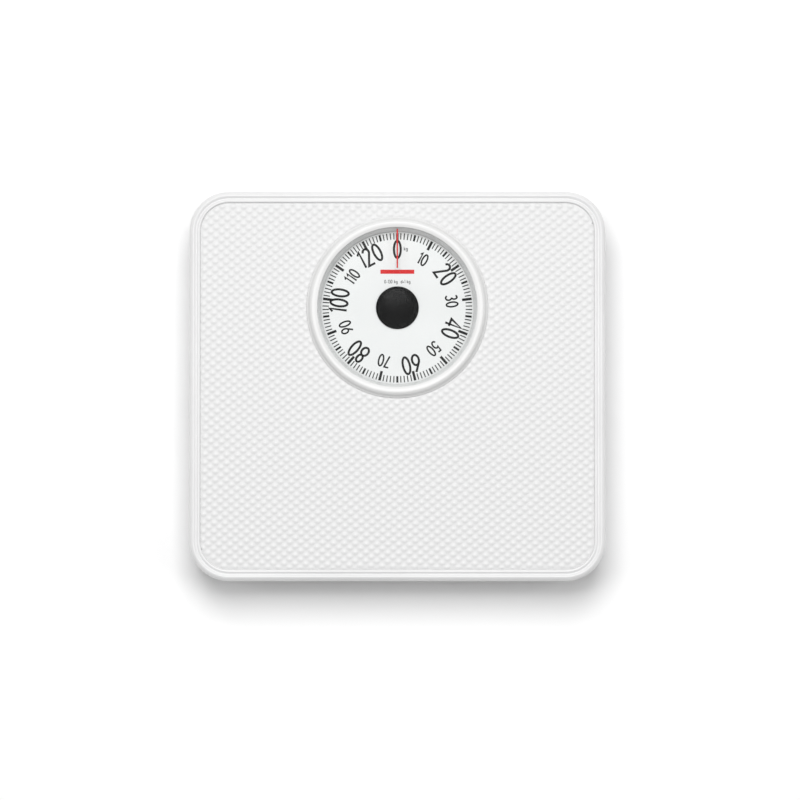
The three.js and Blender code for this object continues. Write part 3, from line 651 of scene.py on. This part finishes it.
def anti_slip_mat():
    """A grid of domes with a border strip, edges down to the deck and a flat underside."""
    inside, squares, steps = mat_grid()
    rim_points, flat, triangles, loops = border_strip(inside, squares, steps)
    used = sorted({(i + a, j + b) for i, j in squares for a in (0, 1) for b in (0, 1)})
    number = {p: k for k, p in enumerate(used)}
    points = [(*inside[p], mat_height(*inside[p])) for p in used]
    strip = {}
    for k, (x, y) in enumerate(flat):
        if k < len(rim_points):
            strip[k] = number[rim_points[k]]
        else:
            strip[k] = len(points)
            points.append((x, y, mat_height(x, y)))
    faces = [tuple(number[i + a, j + b] for a, b in ((0, 0), (1, 0), (1, 1), (0, 1)))
             for i, j in squares]
    faces += [tuple(strip[v] for v in triangle) for triangle in triangles]
    lower = []
    for loop in loops:
        below = {}
        for v in loop:
            below[v] = len(points)
            points.append((*flat[v], MAT_LOW.z))
        ring = list(loop)
        for k, v in enumerate(ring):
            w = ring[(k + 1) % len(ring)]
            faces.append((strip[v], strip[w], below[w], below[v]))
        lower.append([below[v] for v in ring])
    faces += underside(points, lower)
    piece = new_piece("anti_slip_mat_skin", points, faces, sharp=50)
    return finish_piece(piece, "platform", "mat_vinyl", "anti_slip_mat")


def underside(points, loops):
    """Flat triangles between an outline and the opening in it."""
    order = [v for loop in loops for v in loop]
    edges, first = [], 0
    for loop in loops:
        edges += loop_edges(first, len(loop))
        first += len(loop)
    flat = [Vector(points[v][:2]) for v in order]
    _, _, faces, *_ = geometry.delaunay_2d_cdt(flat, edges, [], 0, MERGE_DISTANCE, False)
    hole = set(range(len(loops[0]), first))
    return [tuple(order[v] for v in face) for face in faces if not set(face) <= hole]


# ---- bezel, window and pointer

BEZEL_SECTION = [
    (51.4, 42.3, 0.2), (56.5, 42.3, 0.3), (56.5, 45.3, 0.3), (61.0, 45.3, 0.2),
    (61.0, 47.0, 0.5), (60.0, 47.7, 0.9), (58.9, 50.3, 1.8), (57.4, 51.6, 1.6),
    (55.6, 51.5, 1.3), (53.8, 50.85, 0.5), (53.8, 50.2, 0.15), (55.3, 50.2, 0.15),
    (55.3, 47.6, 0.15), (53.5, 47.6, 0.35),
]
CLAMP_SECTION = [(56.8, 42.3, 0.2), (60.0, 42.3, 0.4), (60.0, 43.9, 0.3), (56.8, 43.9, 0.2)]
POINTER_EXTRA = 0.1 * MM
POINTER_ROUNDING = 0.12 * MM


def dial_bezel():
    """A round moulding with a rolled top, a seat for the window and a neck through the deck."""
    piece = turned("dial_bezel_ring", BEZEL_SECTION, DIAL_AXIS, segments=240, steps=7, sharp=40)
    return finish_piece(piece, "platform", "white_plastic", "dial_bezel")


def clamp_ring():
    piece = turned("bezel_clamp_ring", CLAMP_SECTION, DIAL_AXIS, segments=160, steps=4)
    return finish_piece(piece, "platform", "white_plastic", "bezel_ring")


def dial_window():
    low, high, radius = LENS_LOW.z / MM, LENS_HIGH.z / MM, LENS_HIGH.x / MM
    section = [(0, low, 0), (radius, low, 0.2), (radius, high, 0.35), (0, high, 0)]
    piece = turned("dial_window_lens", section, DIAL_AXIS, segments=200, steps=4)
    return finish_piece(piece, "platform", "clear_plastic", "dial_window")


def pointer():
    """A thin bar with rounded edges, a little wider than the one it stands for."""
    low, high, edge = POINTER_LOW, POINTER_HIGH, POINTER_ROUNDING
    half, half_height = (high.x - low.x) / 2 + POINTER_EXTRA, (high.z - low.z) / 2
    centre_z = (high.z + low.z) / 2
    rings = []
    for y, inset in ((low.y, edge), (low.y + edge, 0), (high.y - edge, 0), (high.y, edge)):
        outline = rounded_rectangle(half - inset, half_height - inset, edge, steps=3)
        rings.append([(across, y, centre_z + up) for across, up in outline])
    piece = new_piece("pointer_hairline", *lidded(rings))
    return finish_piece(piece, "platform", "red_plastic", "pointer")


# ---- dial

KILOGRAMS = 130
TICK_OUTER = 50.4 * MM
# A tick's inner radius and its width, at every ten, every five and every other kilogram.
TICK_TEN = (43.9 * MM, 1.75 * MM)
TICK_FIVE = (46.1 * MM, 1.4 * MM)
TICK_ONE = (46.1 * MM, 0.7 * MM)
# Lettering, as its height, its stroke's width and the radius of its base line.
LARGE = (13.0 * MM, 1.5 * MM, 32.9 * MM)
SMALL = (8.8 * MM, 1.1 * MM, 32.5 * MM)
UNIT = (2.8 * MM, 0.36 * MM, 38.5 * MM)
CAPACITY = (2.5 * MM, 0.32 * MM, 16.4 * MM)
UNIT_SHIFT = 5.7 * MM
BAR_HALF = 11.4 * MM
BAR_WIDTH = 2.8 * MM
BAR_RADIUS = 24.3 * MM
LETTER_GAP = 0.19
SHARPEST_MITRE = 0.55
# The disc's bore and the cap's stem and shoulder are in millimetres, as turned sections are.
DISC_BORE_RADIUS = 3.3
CAP_STEM = 3.4
CAP_STEM_LOW = 41.6
CAP_SHOULDER = 0.35
CAP_STEPS = 16
INK_TOP = DISC_HIGH.z + 0.06 * MM
INK_UNDER = DISC_HIGH.z - 0.05 * MM


def dial_disc():
    low, high, radius = DISC_LOW.z / MM, DISC_HIGH.z / MM, DISC_HIGH.x / MM
    bore = DISC_BORE_RADIUS
    section = [(bore, low, 0.1), (radius, low, 0.2), (radius, high, 0.25), (bore, high, 0.1)]
    piece = turned("dial_disc_card", section, DIAL_AXIS, segments=200, steps=4)
    return finish_piece(piece, "dial", "dial_card", "dial_disc")


def hub_cap():
    """A shallow dome with a steep rounded shoulder, on a short stem."""
    low, high, radius = CAP_LOW.z / MM, CAP_HIGH.z / MM, CAP_HIGH.x / MM
    shoulder = low + CAP_SHOULDER
    section = [(0, CAP_STEM_LOW, 0), (CAP_STEM, CAP_STEM_LOW, 0.2), (CAP_STEM, low, 0.1),
               (radius, low, 0.2)]
    for i in range(CAP_STEPS):
        a = math.pi / 2 * i / CAP_STEPS
        section.append((radius * math.cos(a), shoulder + (high - shoulder) * math.sin(a), 0))
    section.append((0, high, 0))
    piece = turned("hub_cap_dome", section, DIAL_AXIS)
    return finish_piece(piece, "dial", "black_plastic", "hub_cap")


def clockwise(x, y, angle):
    """A point of the dial, drawn with up towards 12 o'clock and then turned clockwise."""
    c, s = math.cos(angle), math.sin(angle)
    return DIAL.x + x * c + y * s, DIAL.y + y * c - x * s


class Print:
    """Thin raised print on the dial, gathered into one mesh."""

    def __init__(self):
        self.points, self.faces = [], []

    def ribbon(self, path, width, angle, closed=False):
        """A stroke of even width along a path drawn at 12 o'clock."""
        count = len(path)
        first = len(self.points)
        for i, here in enumerate(path):
            back = here - path[i - 1] if closed or i else path[1] - here
            ahead = path[(i + 1) % count] - here if closed or i < count - 1 else back
            back, ahead = back.normalized(), ahead.normalized()
            along = (back + ahead).normalized()
            across = Vector((-along.y, along.x))
            mitre = max(across.dot(Vector((-ahead.y, ahead.x))), SHARPEST_MITRE)
            offset = across * (width / 2 / mitre)
            for spot, z in ((here + offset, INK_TOP), (here - offset, INK_TOP),
                            (here - offset, INK_UNDER), (here + offset, INK_UNDER)):
                self.points.append((*clockwise(spot.x, spot.y, angle), z))
        for i in range(count if closed else count - 1):
            a, b = first + 4 * i, first + 4 * ((i + 1) % count)
            for k in range(4):
                m = (k + 1) % 4
                self.faces.append((a + k, b + k, b + m, a + m))
        if not closed:
            end = first + 4 * (count - 1)
            self.faces.append((first + 3, first + 2, first + 1, first))
            self.faces.append((end, end + 1, end + 2, end + 3))

    def piece(self, name, ink):
        piece = new_piece(name, self.points, self.faces)
        return finish_piece(piece, "dial", "dial_card", material=ink)


def bow(centre_x, centre_y, half_x, half_y, start, end, steps=14):
    """Part of an ellipse, from one angle to another in degrees."""
    angles = [math.radians(start + (end - start) * i / steps) for i in range(steps + 1)]
    return [Vector((centre_x + half_x * math.cos(a), centre_y + half_y * math.sin(a)))
            for a in angles]


def oval(centre_x, centre_y, half_x, half_y):
    """A whole ellipse, to be drawn as a closed stroke."""
    return bow(centre_x, centre_y, half_x, half_y, 0, 350, steps=35)


def line(*spots):
    return [Vector(spot) for spot in spots]


def six():
    """The strokes of a 6. Turned upside down they are a 9."""
    bowl = oval(0.2, 0.3, 0.2, 0.3)
    stem = bow(0.2, 0.3, 0.2, 0.3, 175, 147, steps=3) + line((0.31, 1.0))
    return [(bowl, True), (stem, False)]


# Each character is its width and its strokes, in units of its height. A stroke is its points
# and whether it is closed.
CHARACTERS = {
    "0": (0.40, [(oval(0.2, 0.5, 0.2, 0.5), True)]),
    "1": (0.15, [(line((0, 0.82), (0.15, 1.0), (0.15, 0)), False)]),
    "2": (0.40, [(bow(0.19, 0.79, 0.18, 0.21, 168, -32) + line((0, 0), (0.4, 0)), False)]),
    "3": (0.38, [(bow(0.17, 0.76, 0.16, 0.24, 150, -90), False),
                 (bow(0.17, 0.26, 0.20, 0.26, 90, -150), False)]),
    "4": (0.44, [(line((0.32, 0), (0.32, 1.0), (0, 0.27), (0.44, 0.27)), False)]),
    "5": (0.38, [(line((0.36, 1.0), (0.10, 1.0), (0.05, 0.57))
                  + bow(0.18, 0.32, 0.2, 0.32, 122, -150), False)]),
    "6": (0.40, six()),
    "7": (0.38, [(line((0, 1.0), (0.38, 1.0), (0.10, 0)), False)]),
    "8": (0.40, [(oval(0.2, 0.76, 0.155, 0.24), True), (oval(0.2, 0.26, 0.2, 0.26), True)]),
    "9": (0.40, [([Vector((0.4 - p.x, 1.0 - p.y)) for p in stroke], closed)
                 for stroke, closed in six()]),
    "k": (0.38, [(line((0, 1.0), (0, 0)), False), (line((0.36, 0.62), (0, 0.26)), False),
                 (line((0.12, 0.36), (0.38, 0)), False)]),
    "g": (0.38, [(oval(0.19, 0.32, 0.18, 0.3), True),
                 (line((0.38, 0.62), (0.38, -0.1)) + bow(0.2, -0.1, 0.18, 0.2, -20, -160, 6),
                  False)]),
    "d": (0.38, [(oval(0.18, 0.3, 0.18, 0.3), True), (line((0.38, 1.0), (0.38, 0)), False)]),
    "=": (0.36, [(line((0, 0.42), (0.36, 0.42)), False), (line((0, 0.22), (0.36, 0.22)), False)]),
    "-": (0.30, [(line((0, 0.32), (0.30, 0.32)), False)]),
    " ": (0.26, []),
}


def write(ink, text, lettering, angle, shift=0.0):
    """Writes a line of characters centred at 12 o'clock, then turned clockwise by the angle."""
    height, stroke_width, base = lettering
    size = height - stroke_width
    width = sum(CHARACTERS[c][0] for c in text) + LETTER_GAP * (len(text) - 1)
    left = shift / size - width / 2
    for character in text:
        advance, strokes = CHARACTERS[character]
        for spots, closed in strokes:
            placed = [Vector(((left + p.x) * size, base + stroke_width / 2 + p.y * size))
                      for p in spots]
            ink.ribbon(placed, stroke_width, angle, closed)
        left += advance + LETTER_GAP


def dial_angle(kilogram):
    return 2 * math.pi * kilogram / KILOGRAMS


def tick_marks():
    ink = Print()
    for kilogram in range(KILOGRAMS):
        tick = TICK_TEN if kilogram % 10 == 0 else TICK_FIVE if kilogram % 5 == 0 else TICK_ONE
        inner, width = tick
        ink.ribbon(line((0, inner), (0, TICK_OUTER)), width, dial_angle(kilogram))
    return ink.piece("dial_ticks", INK_BLACK)


def numerals():
    """Large numbers at every twenty kilograms and small ones half way between them."""
    large, small = Print(), Print()
    for kilogram in range(0, KILOGRAMS, 20):
        write(large, str(kilogram), LARGE, dial_angle(kilogram))
    for kilogram in range(10, KILOGRAMS, 20):
        write(small, str(kilogram), SMALL, dial_angle(kilogram))
    large.piece("dial_numerals_large", INK_BLACK)
    small.piece("dial_numerals_small", INK_BLACK)


def fine_print():
    """The unit beside the zero, and a line with the range and the division."""
    ink = Print()
    write(ink, "kg", UNIT, 0, UNIT_SHIFT)
    write(ink, "0-130 kg  d=1 kg", CAPACITY, 0)
    return ink.piece("dial_fine_print", INK_GREY)


def red_bar():
    """A plain red bar across the dial, above the cap."""
    ink = Print()
    ink.ribbon(line((-BAR_HALF, BAR_RADIUS), (BAR_HALF, BAR_RADIUS)), BAR_WIDTH, 0)
    return ink.piece("dial_red_bar", INK_RED)


# ---- base pan and feet

BEAD_ROWS = (-100, -60, -20, 20)
BEAD_LENGTH = 150
BEAD_WIDTH = 12
# A bead's section from its foot to its top, as (inset, height) in millimetres.
BEAD_OUTSIDE = [(0, 5.5), (0, 5.8), (0.6, 6.5), (1.4, 7.2), (2.4, 7.5)]
BEAD_INSIDE = [(1.0, 4.0), (1.0, 5.0), (1.6, 5.8), (2.3, 6.4), (3.2, 6.7)]
# The pan's section from its flat underside, round the wall, to its flat floor, as (inset,
# height, rounding) in millimetres.
PAN_SECTION = [
    (14.0, 5.0, 0), (3.0, 5.0, 2.2), (0.0, 8.0, 2.6), (0.0, 25.0, 0.3),
    (0.8, 25.0, 0.3), (0.8, 8.3, 2.0), (3.3, 5.8, 1.6), (14.0, 5.8, 0),
]
TAB_HALF_X = 0.75 * MM
TAB_HALF_Y = 5 * MM
TAB_LOW, TAB_HIGH = 5.4 * MM, 16.5 * MM
FOOT_HOLE_RADIUS = 3.9 * MM
FASTENER_HOLE_RADIUS = 2.1 * MM
DRILL_HEIGHT = 10 * MM
SLOT_HALF_X = 11 * MM
SLOT_HALF_Y = 5 * MM
SLOT_BELOW = 1.1 * MM
SLOT_ABOVE = 1 * MM
# A foot's section in millimetres: two grooves in its sole, and a barb above that holds it.
FOOT_SECTION = [
    (0, 0, 0), (3.2, 0, 0.1), (3.6, 0.45, 0.1), (4.4, 0.45, 0.1), (4.8, 0, 0.1),
    (6.6, 0, 0.1), (7.0, 0.45, 0.1), (7.8, 0.45, 0.1), (8.2, 0, 0.1),
    (9.8, 0, 0.5), (11, 1.4, 0.8), (11, 4.0, 0.4), (10.3, 4.7, 0.3),
    (3.6, 4.7, 0.1), (3.6, 6.1, 0.1), (5, 6.1, 0.3), (4, 8.0, 0.5), (0, 8.0, 0),
]


def bead(section, y):
    """A long rounded bead across the pan's floor, centred on X."""
    rings = []
    for inset, z in section:
        end = BEAD_WIDTH / 2 - inset
        outline = rounded_rectangle(BEAD_LENGTH / 2 - inset, end, end, steps=12)
        rings.append([(x * MM, (across + y) * MM, z * MM) for x, across in outline])
    return lidded(rings)


def together(name, *solids):
    """One helper object that holds several separate solids."""
    points, faces = [], []
    for solid_points, solid_faces in solids:
        start = len(points)
        points += [tuple(p) for p in solid_points]
        faces += [tuple(v + start for v in face) for face in solid_faces]
    return new_piece(name, points, faces)


def drill(node, radius, sides):
    """A round cutter through the pan's floor, on the node's middle."""
    spot = middle(node)
    return lidded([circle((spot.x, spot.y), radius, sides, z) for z in (0, DRILL_HEIGHT)])


def block(x0, x1, y0, y1, z0, z1):
    rings = [[(x0, y0, z), (x1, y0, z), (x1, y1, z), (x0, y1, z)] for z in (z0, z1)]
    return lidded(rings)


def carve(piece, tool, operation):
    """Joins or cuts the piece with the tool, and removes the tool."""
    modifier = piece.modifiers.new("carve", "BOOLEAN")
    modifier.operation = operation
    modifier.solver = "EXACT"
    modifier.object = tool
    depsgraph = bpy.context.evaluated_depsgraph_get()
    mesh = bpy.data.meshes.new_from_object(piece.evaluated_get(depsgraph))
    piece.modifiers.remove(modifier)
    piece.data = mesh
    bpy.data.objects.remove(tool)


def pan_holes():
    """Cutters for the feet's holes, the rivets, the bridge screws and the zero wheel's slot."""
    cutters = []
    for place in CORNER_PLACES:
        cutters.append(drill(f"foot_{place}", FOOT_HOLE_RADIUS, 40))
        cutters.append(drill(f"fulcrum_rivet_{place}", FASTENER_HOLE_RADIUS, 24))
    for side in ("left", "right"):
        cutters.append(drill(f"bridge_screw_{side}", FASTENER_HOLE_RADIUS, 24))
    wheel_x = middle("zero_wheel").x
    cutters.append(block(wheel_x - SLOT_HALF_X, wheel_x + SLOT_HALF_X,
                         PAN_HIGH.y - SLOT_HALF_Y, PAN_HIGH.y + SLOT_HALF_Y,
                         WHEEL_LOW.z - SLOT_BELOW, WHEEL_HIGH.z + SLOT_ABOVE))
    return cutters


def base_pan():
    """A pressed tray with beads across its floor, two spring tabs and its holes."""
    rings = [inset_ring(PAN_HIGH.x, PAN_HIGH.y, PAN_CORNER, p.x * MM, p.y * MM, steps=16)
             for p in rounded(PAN_SECTION, steps=5)]
    pan = new_piece("base_pan_pressing", *lidded(rings))
    raised = [bead(BEAD_OUTSIDE, y) for y in BEAD_ROWS]
    hollow = [bead(BEAD_INSIDE, y) for y in BEAD_ROWS]
    for x in (-SPRING_POST_X, SPRING_POST_X):
        raised.append(block(x - TAB_HALF_X, x + TAB_HALF_X, -TAB_HALF_Y, TAB_HALF_Y,
                            TAB_LOW, TAB_HIGH))
    carve(pan, together("pan_additions", *raised), "UNION")
    carve(pan, together("pan_cutters", *hollow, *pan_holes()), "DIFFERENCE")
    smooth_shading(pan.data, 32)
    return finish_piece(pan, "base", "white_enamel", "base_pan")


def feet():
    for place in CORNER_PLACES:
        spot = middle(f"foot_{place}")
        piece = turned(f"rubber_foot_{place}", FOOT_SECTION, (spot.x, spot.y), segments=96, steps=4)
        finish_piece(piece, "base", "black_rubber", f"foot_{place}")


WHEEL_RIDGES = 36
SIDES_PER_RIDGE = 10
RIDGE_DEPTH = 0.7 * MM
WHEEL_BORE_RADIUS = 2.3 * MM
# The dish in the wheel's lower face: its radii from inside to outside, and its depth.
DISH_RADII = (5 * MM, 6 * MM, 11 * MM, 11.8 * MM)
DISH_DEPTH = 0.6 * MM
CHAMFER = 0.5 * MM
CHAMFER_INSET = 1.1 * MM
SHOULDER_INSET = 0.1 * MM
CHAMFER_KNURL = 0.2


def knurled(centre, radius, z, knurl=1.0):
    """A ring with rounded ridges, whose grooves have the given share of their full depth."""
    sides = WHEEL_RIDGES * SIDES_PER_RIDGE
    loop = []
    for i in range(sides):
        a = 2 * math.pi * i / sides
        r = radius - RIDGE_DEPTH * (1 - abs(math.cos(WHEEL_RIDGES * a / 2))) * knurl
        loop.append((centre[0] + r * math.cos(a), centre[1] + r * math.sin(a), z))
    return loop


def zero_wheel():
    """A thumb wheel with rounded knurls, chamfered faces and a dished lower face."""
    spot = middle("zero_wheel")
    centre, radius = (spot.x, spot.y), WHEEL_HIGH.x - spot.x
    sides = WHEEL_RIDGES * SIDES_PER_RIDGE
    low, high = WHEEL_LOW.z, WHEEL_HIGH.z
    dish_heights = (low, low + DISH_DEPTH, low + DISH_DEPTH, low)
    rings = [circle(centre, WHEEL_BORE_RADIUS, sides, low)]
    rings += [circle(centre, r, sides, z) for r, z in zip(DISH_RADII, dish_heights)]
    rings += [knurled(centre, radius - CHAMFER_INSET, low, CHAMFER_KNURL),
              knurled(centre, radius - SHOULDER_INSET, low + CHAMFER),
              knurled(centre, radius, low + 2 * CHAMFER),
              knurled(centre, radius, high - 2 * CHAMFER),
              knurled(centre, radius - SHOULDER_INSET, high - CHAMFER),
              knurled(centre, radius - CHAMFER_INSET, high, CHAMFER_KNURL),
              circle(centre, WHEEL_BORE_RADIUS, sides, high)]
    piece = new_piece("zero_thumb_wheel", *skin(rings), sharp=28)
    return finish_piece(piece, "zero_knob", "grey_plastic", "zero_wheel")


# ---- springs

# Spring sizes are in millimetres, as (wire radius, coil radius, turns, low end, high end).
MAIN_SPRING = (1.3, 6.5, 4, 21.1, 30.5)
MAIN_SHANK_BELOW = (16.6, 17.4, 18.1, 18.7)
MAIN_SHANK_ABOVE = (33.2, 33.8, 34.6, 36, 37.4, 38.9)
PLATFORM_SPRING = (0.6, 3.4, 5, 14, 36)
RACK_SPRING = (0.35, 2, 7, 80.8, 118)
# A hook's radius, and the height from the spring's end to its first turn.
PLATFORM_HOOK = (2.6, 6.7)
RACK_HOOK = (2, 5.5)
HOOK_END, HOOK_START = 0.08, 0.92 * math.pi
RACK_SPRING_AXIS = Vector((13.5 * MM, 0, 31.23 * MM))


def coil(radius, turns, low, high, per_turn):
    count = round(turns * per_turn)
    return [Vector((radius * math.cos(2 * math.pi * turns * i / count),
                    radius * math.sin(2 * math.pi * turns * i / count),
                    low + (high - low) * i / count)) for i in range(count + 1)]


def hook(reach, z, up, start, end, steps=6):
    """The hook on a spring's end: most of a circle in X and Z."""
    spots = []
    for i in range(steps + 1):
        a = start + (end - start) * i / steps
        spots.append(Vector((reach * math.cos(a), 0, z + up * (reach - reach * math.sin(a)))))
    return spots


def hooked_path(spring, hook_size):
    """An upright spring's wire with a hook at each end, in metres."""
    _, radius, turns, low, high = spring
    reach, lead = hook_size
    path = hook(reach, low, 1, HOOK_START, HOOK_END)
    path += coil(radius, turns, low + lead, high - lead, per_turn=8)
    path += hook(reach, high, -1, HOOK_END, HOOK_START)
    return [p * MM for p in path]


def spring_piece(name, path, wire, node):
    """A spring's wire along a smooth path, set in place of the node. Its ends hang on two bodies,
    but it does not stretch with them.
    """
    piece = tube(name, spline(path, steps=5), wire * MM)
    piece.data.materials.append(MATERIALS["spring_steel"])
    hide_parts(node)
    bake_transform(piece)
    return piece


def main_spring():
    """A coil with a straight shank at each end, into the spring seat and up to the nut."""
    wire, radius, turns, low, high = MAIN_SPRING
    y = middle("spring_seat").y
    path = [Vector((0, 0, z)) for z in MAIN_SHANK_BELOW]
    path += coil(radius, turns, low, high, per_turn=10)
    path += [Vector((0, 0, z)) for z in MAIN_SHANK_ABOVE]
    path = [p * MM + Vector((0, y, 0)) for p in path]
    return spring_piece("main_spring_wire", path, wire,
                        "main_spring")


def platform_springs():
    for x, side in ((-SPRING_POST_X, "left"), (SPRING_POST_X, "right")):
        path = [p + Vector((x, 0, 0)) for p in hooked_path(PLATFORM_SPRING, PLATFORM_HOOK)]
        spring_piece(f"platform_spring_wire_{side}", path, PLATFORM_SPRING[0],
                     f"platform_spring_{side}")


def rack_spring():
    """A hooked spring, laid over to run along Y from the rack to its post."""
    wire, _, _, front, back = RACK_SPRING
    turn = Matrix.Rotation(-math.pi / 2, 4, "X") @ Matrix.Rotation(math.pi / 2, 4, "Z")
    path = [turn @ p + RACK_SPRING_AXIS for p in hooked_path(RACK_SPRING, RACK_HOOK)]
    return spring_piece("rack_spring_wire", path, wire,
                        "rack_spring")


# ---- carried-over CAD

WELD_DISTANCE = 0.001 * MM
BROKEN_EDGE = 0.12 * MM
SHARP_EDGE = math.radians(40)


def finish_cad_nodes():
    """The mechanism keeps its CAD shapes, with broken edges and real materials."""
    slots = {row["node"]: row["material_slot"] for row in frame["record"]["subparts"]}
    for name, node in frame["nodes"].items():
        node.data.materials.clear()
        node.data.materials.append(MATERIALS[slots[name]])
        if node.hide_render:
            continue
        weld = node.modifiers.new("weld", "WELD")
        weld.merge_threshold = WELD_DISTANCE
        edge = node.modifiers.new("broken_edge", "BEVEL")
        edge.width = BROKEN_EDGE
        edge.segments = 2
        edge.limit_method = "ANGLE"
        edge.angle_limit = SHARP_EDGE


# ---- floor, light, camera

FLOOR_HALF = 4.0
WORLD_STRENGTH = 0.35
LIGHT_DISTANCE = 3.0
CAMERA_ELEVATION = math.radians(88)
CAMERA_DISTANCE = 4.0
CAMERA_AIM = Vector((1.8 * MM, -9.3 * MM, DECK_TOP))
VIEW_WIDTH = 0.5378
SENSOR_WIDTH = 36


def floor():
    material = Surface("floor", 0.9, specular=0.1)
    material.colour(material.noise(3, 2), grey(0.945), grey(0.955))
    corners = [(x * FLOOR_HALF, y * FLOOR_HALF, 0) for x, y in ((-1, -1), (1, -1), (1, 1), (-1, 1))]
    plane = new_piece("floor", corners, [(0, 1, 2, 3)])
    plane.data.materials.append(material.material)


def world_light():
    """Even white light from all round."""
    world = bpy.data.worlds.new("studio")
    world.use_nodes = True
    background = world.node_tree.nodes["Background"]
    background.inputs["Color"].default_value = (1, 1, 1, 1)
    background.inputs["Strength"].default_value = WORLD_STRENGTH
    scene.world = world


def softbox(name, azimuth, elevation, size, power):
    """A square light that faces the object. Azimuth 0 is on the +Y side, turning to +X."""
    lamp = bpy.data.lights.new(name, "AREA")
    lamp.shape = "SQUARE"
    lamp.size = size
    lamp.energy = power
    light = bpy.data.objects.new(name, lamp)
    a, e = math.radians(azimuth), math.radians(elevation)
    towards = Vector((math.sin(a) * math.cos(e), math.cos(a) * math.cos(e), math.sin(e)))
    light.location = towards * LIGHT_DISTANCE
    light.rotation_mode = "QUATERNION"
    light.rotation_quaternion = towards.to_track_quat("Z", "Y")
    scene.collection.objects.link(light)


def camera():
    """High above the platform, a little in front of it, with a long lens. The view width is
    what the picture spans at the point that the camera aims at, in metres."""
    data = bpy.data.cameras.new("camera")
    data.sensor_width = SENSOR_WIDTH
    data.lens = SENSOR_WIDTH * CAMERA_DISTANCE / VIEW_WIDTH
    data.clip_end = 50
    view = bpy.data.objects.new("camera", data)
    back = Vector((0, -math.cos(CAMERA_ELEVATION), math.sin(CAMERA_ELEVATION)))
    view.location = CAMERA_AIM + back * CAMERA_DISTANCE
    view.rotation_euler = (math.pi / 2 - CAMERA_ELEVATION, 0, 0)
    scene.collection.objects.link(view)
    scene.camera = view


# ---- build

camera()
platform_cover()
anti_slip_mat()
dial_bezel()
clamp_ring()
dial_window()
pointer()
dial_disc()
hub_cap()
tick_marks()
numerals()
fine_print()
red_bar()
base_pan()
feet()
zero_wheel()
main_spring()
platform_springs()
rack_spring()
finish_cad_nodes()
floor()
world_light()
softbox("key", azimuth=-5, elevation=69, size=1.6, power=62)
softbox("left", azimuth=-90, elevation=56, size=0.9, power=9.5)
softbox("right", azimuth=90, elevation=56, size=0.9, power=11)
scene.view_settings.view_transform = "Standard"
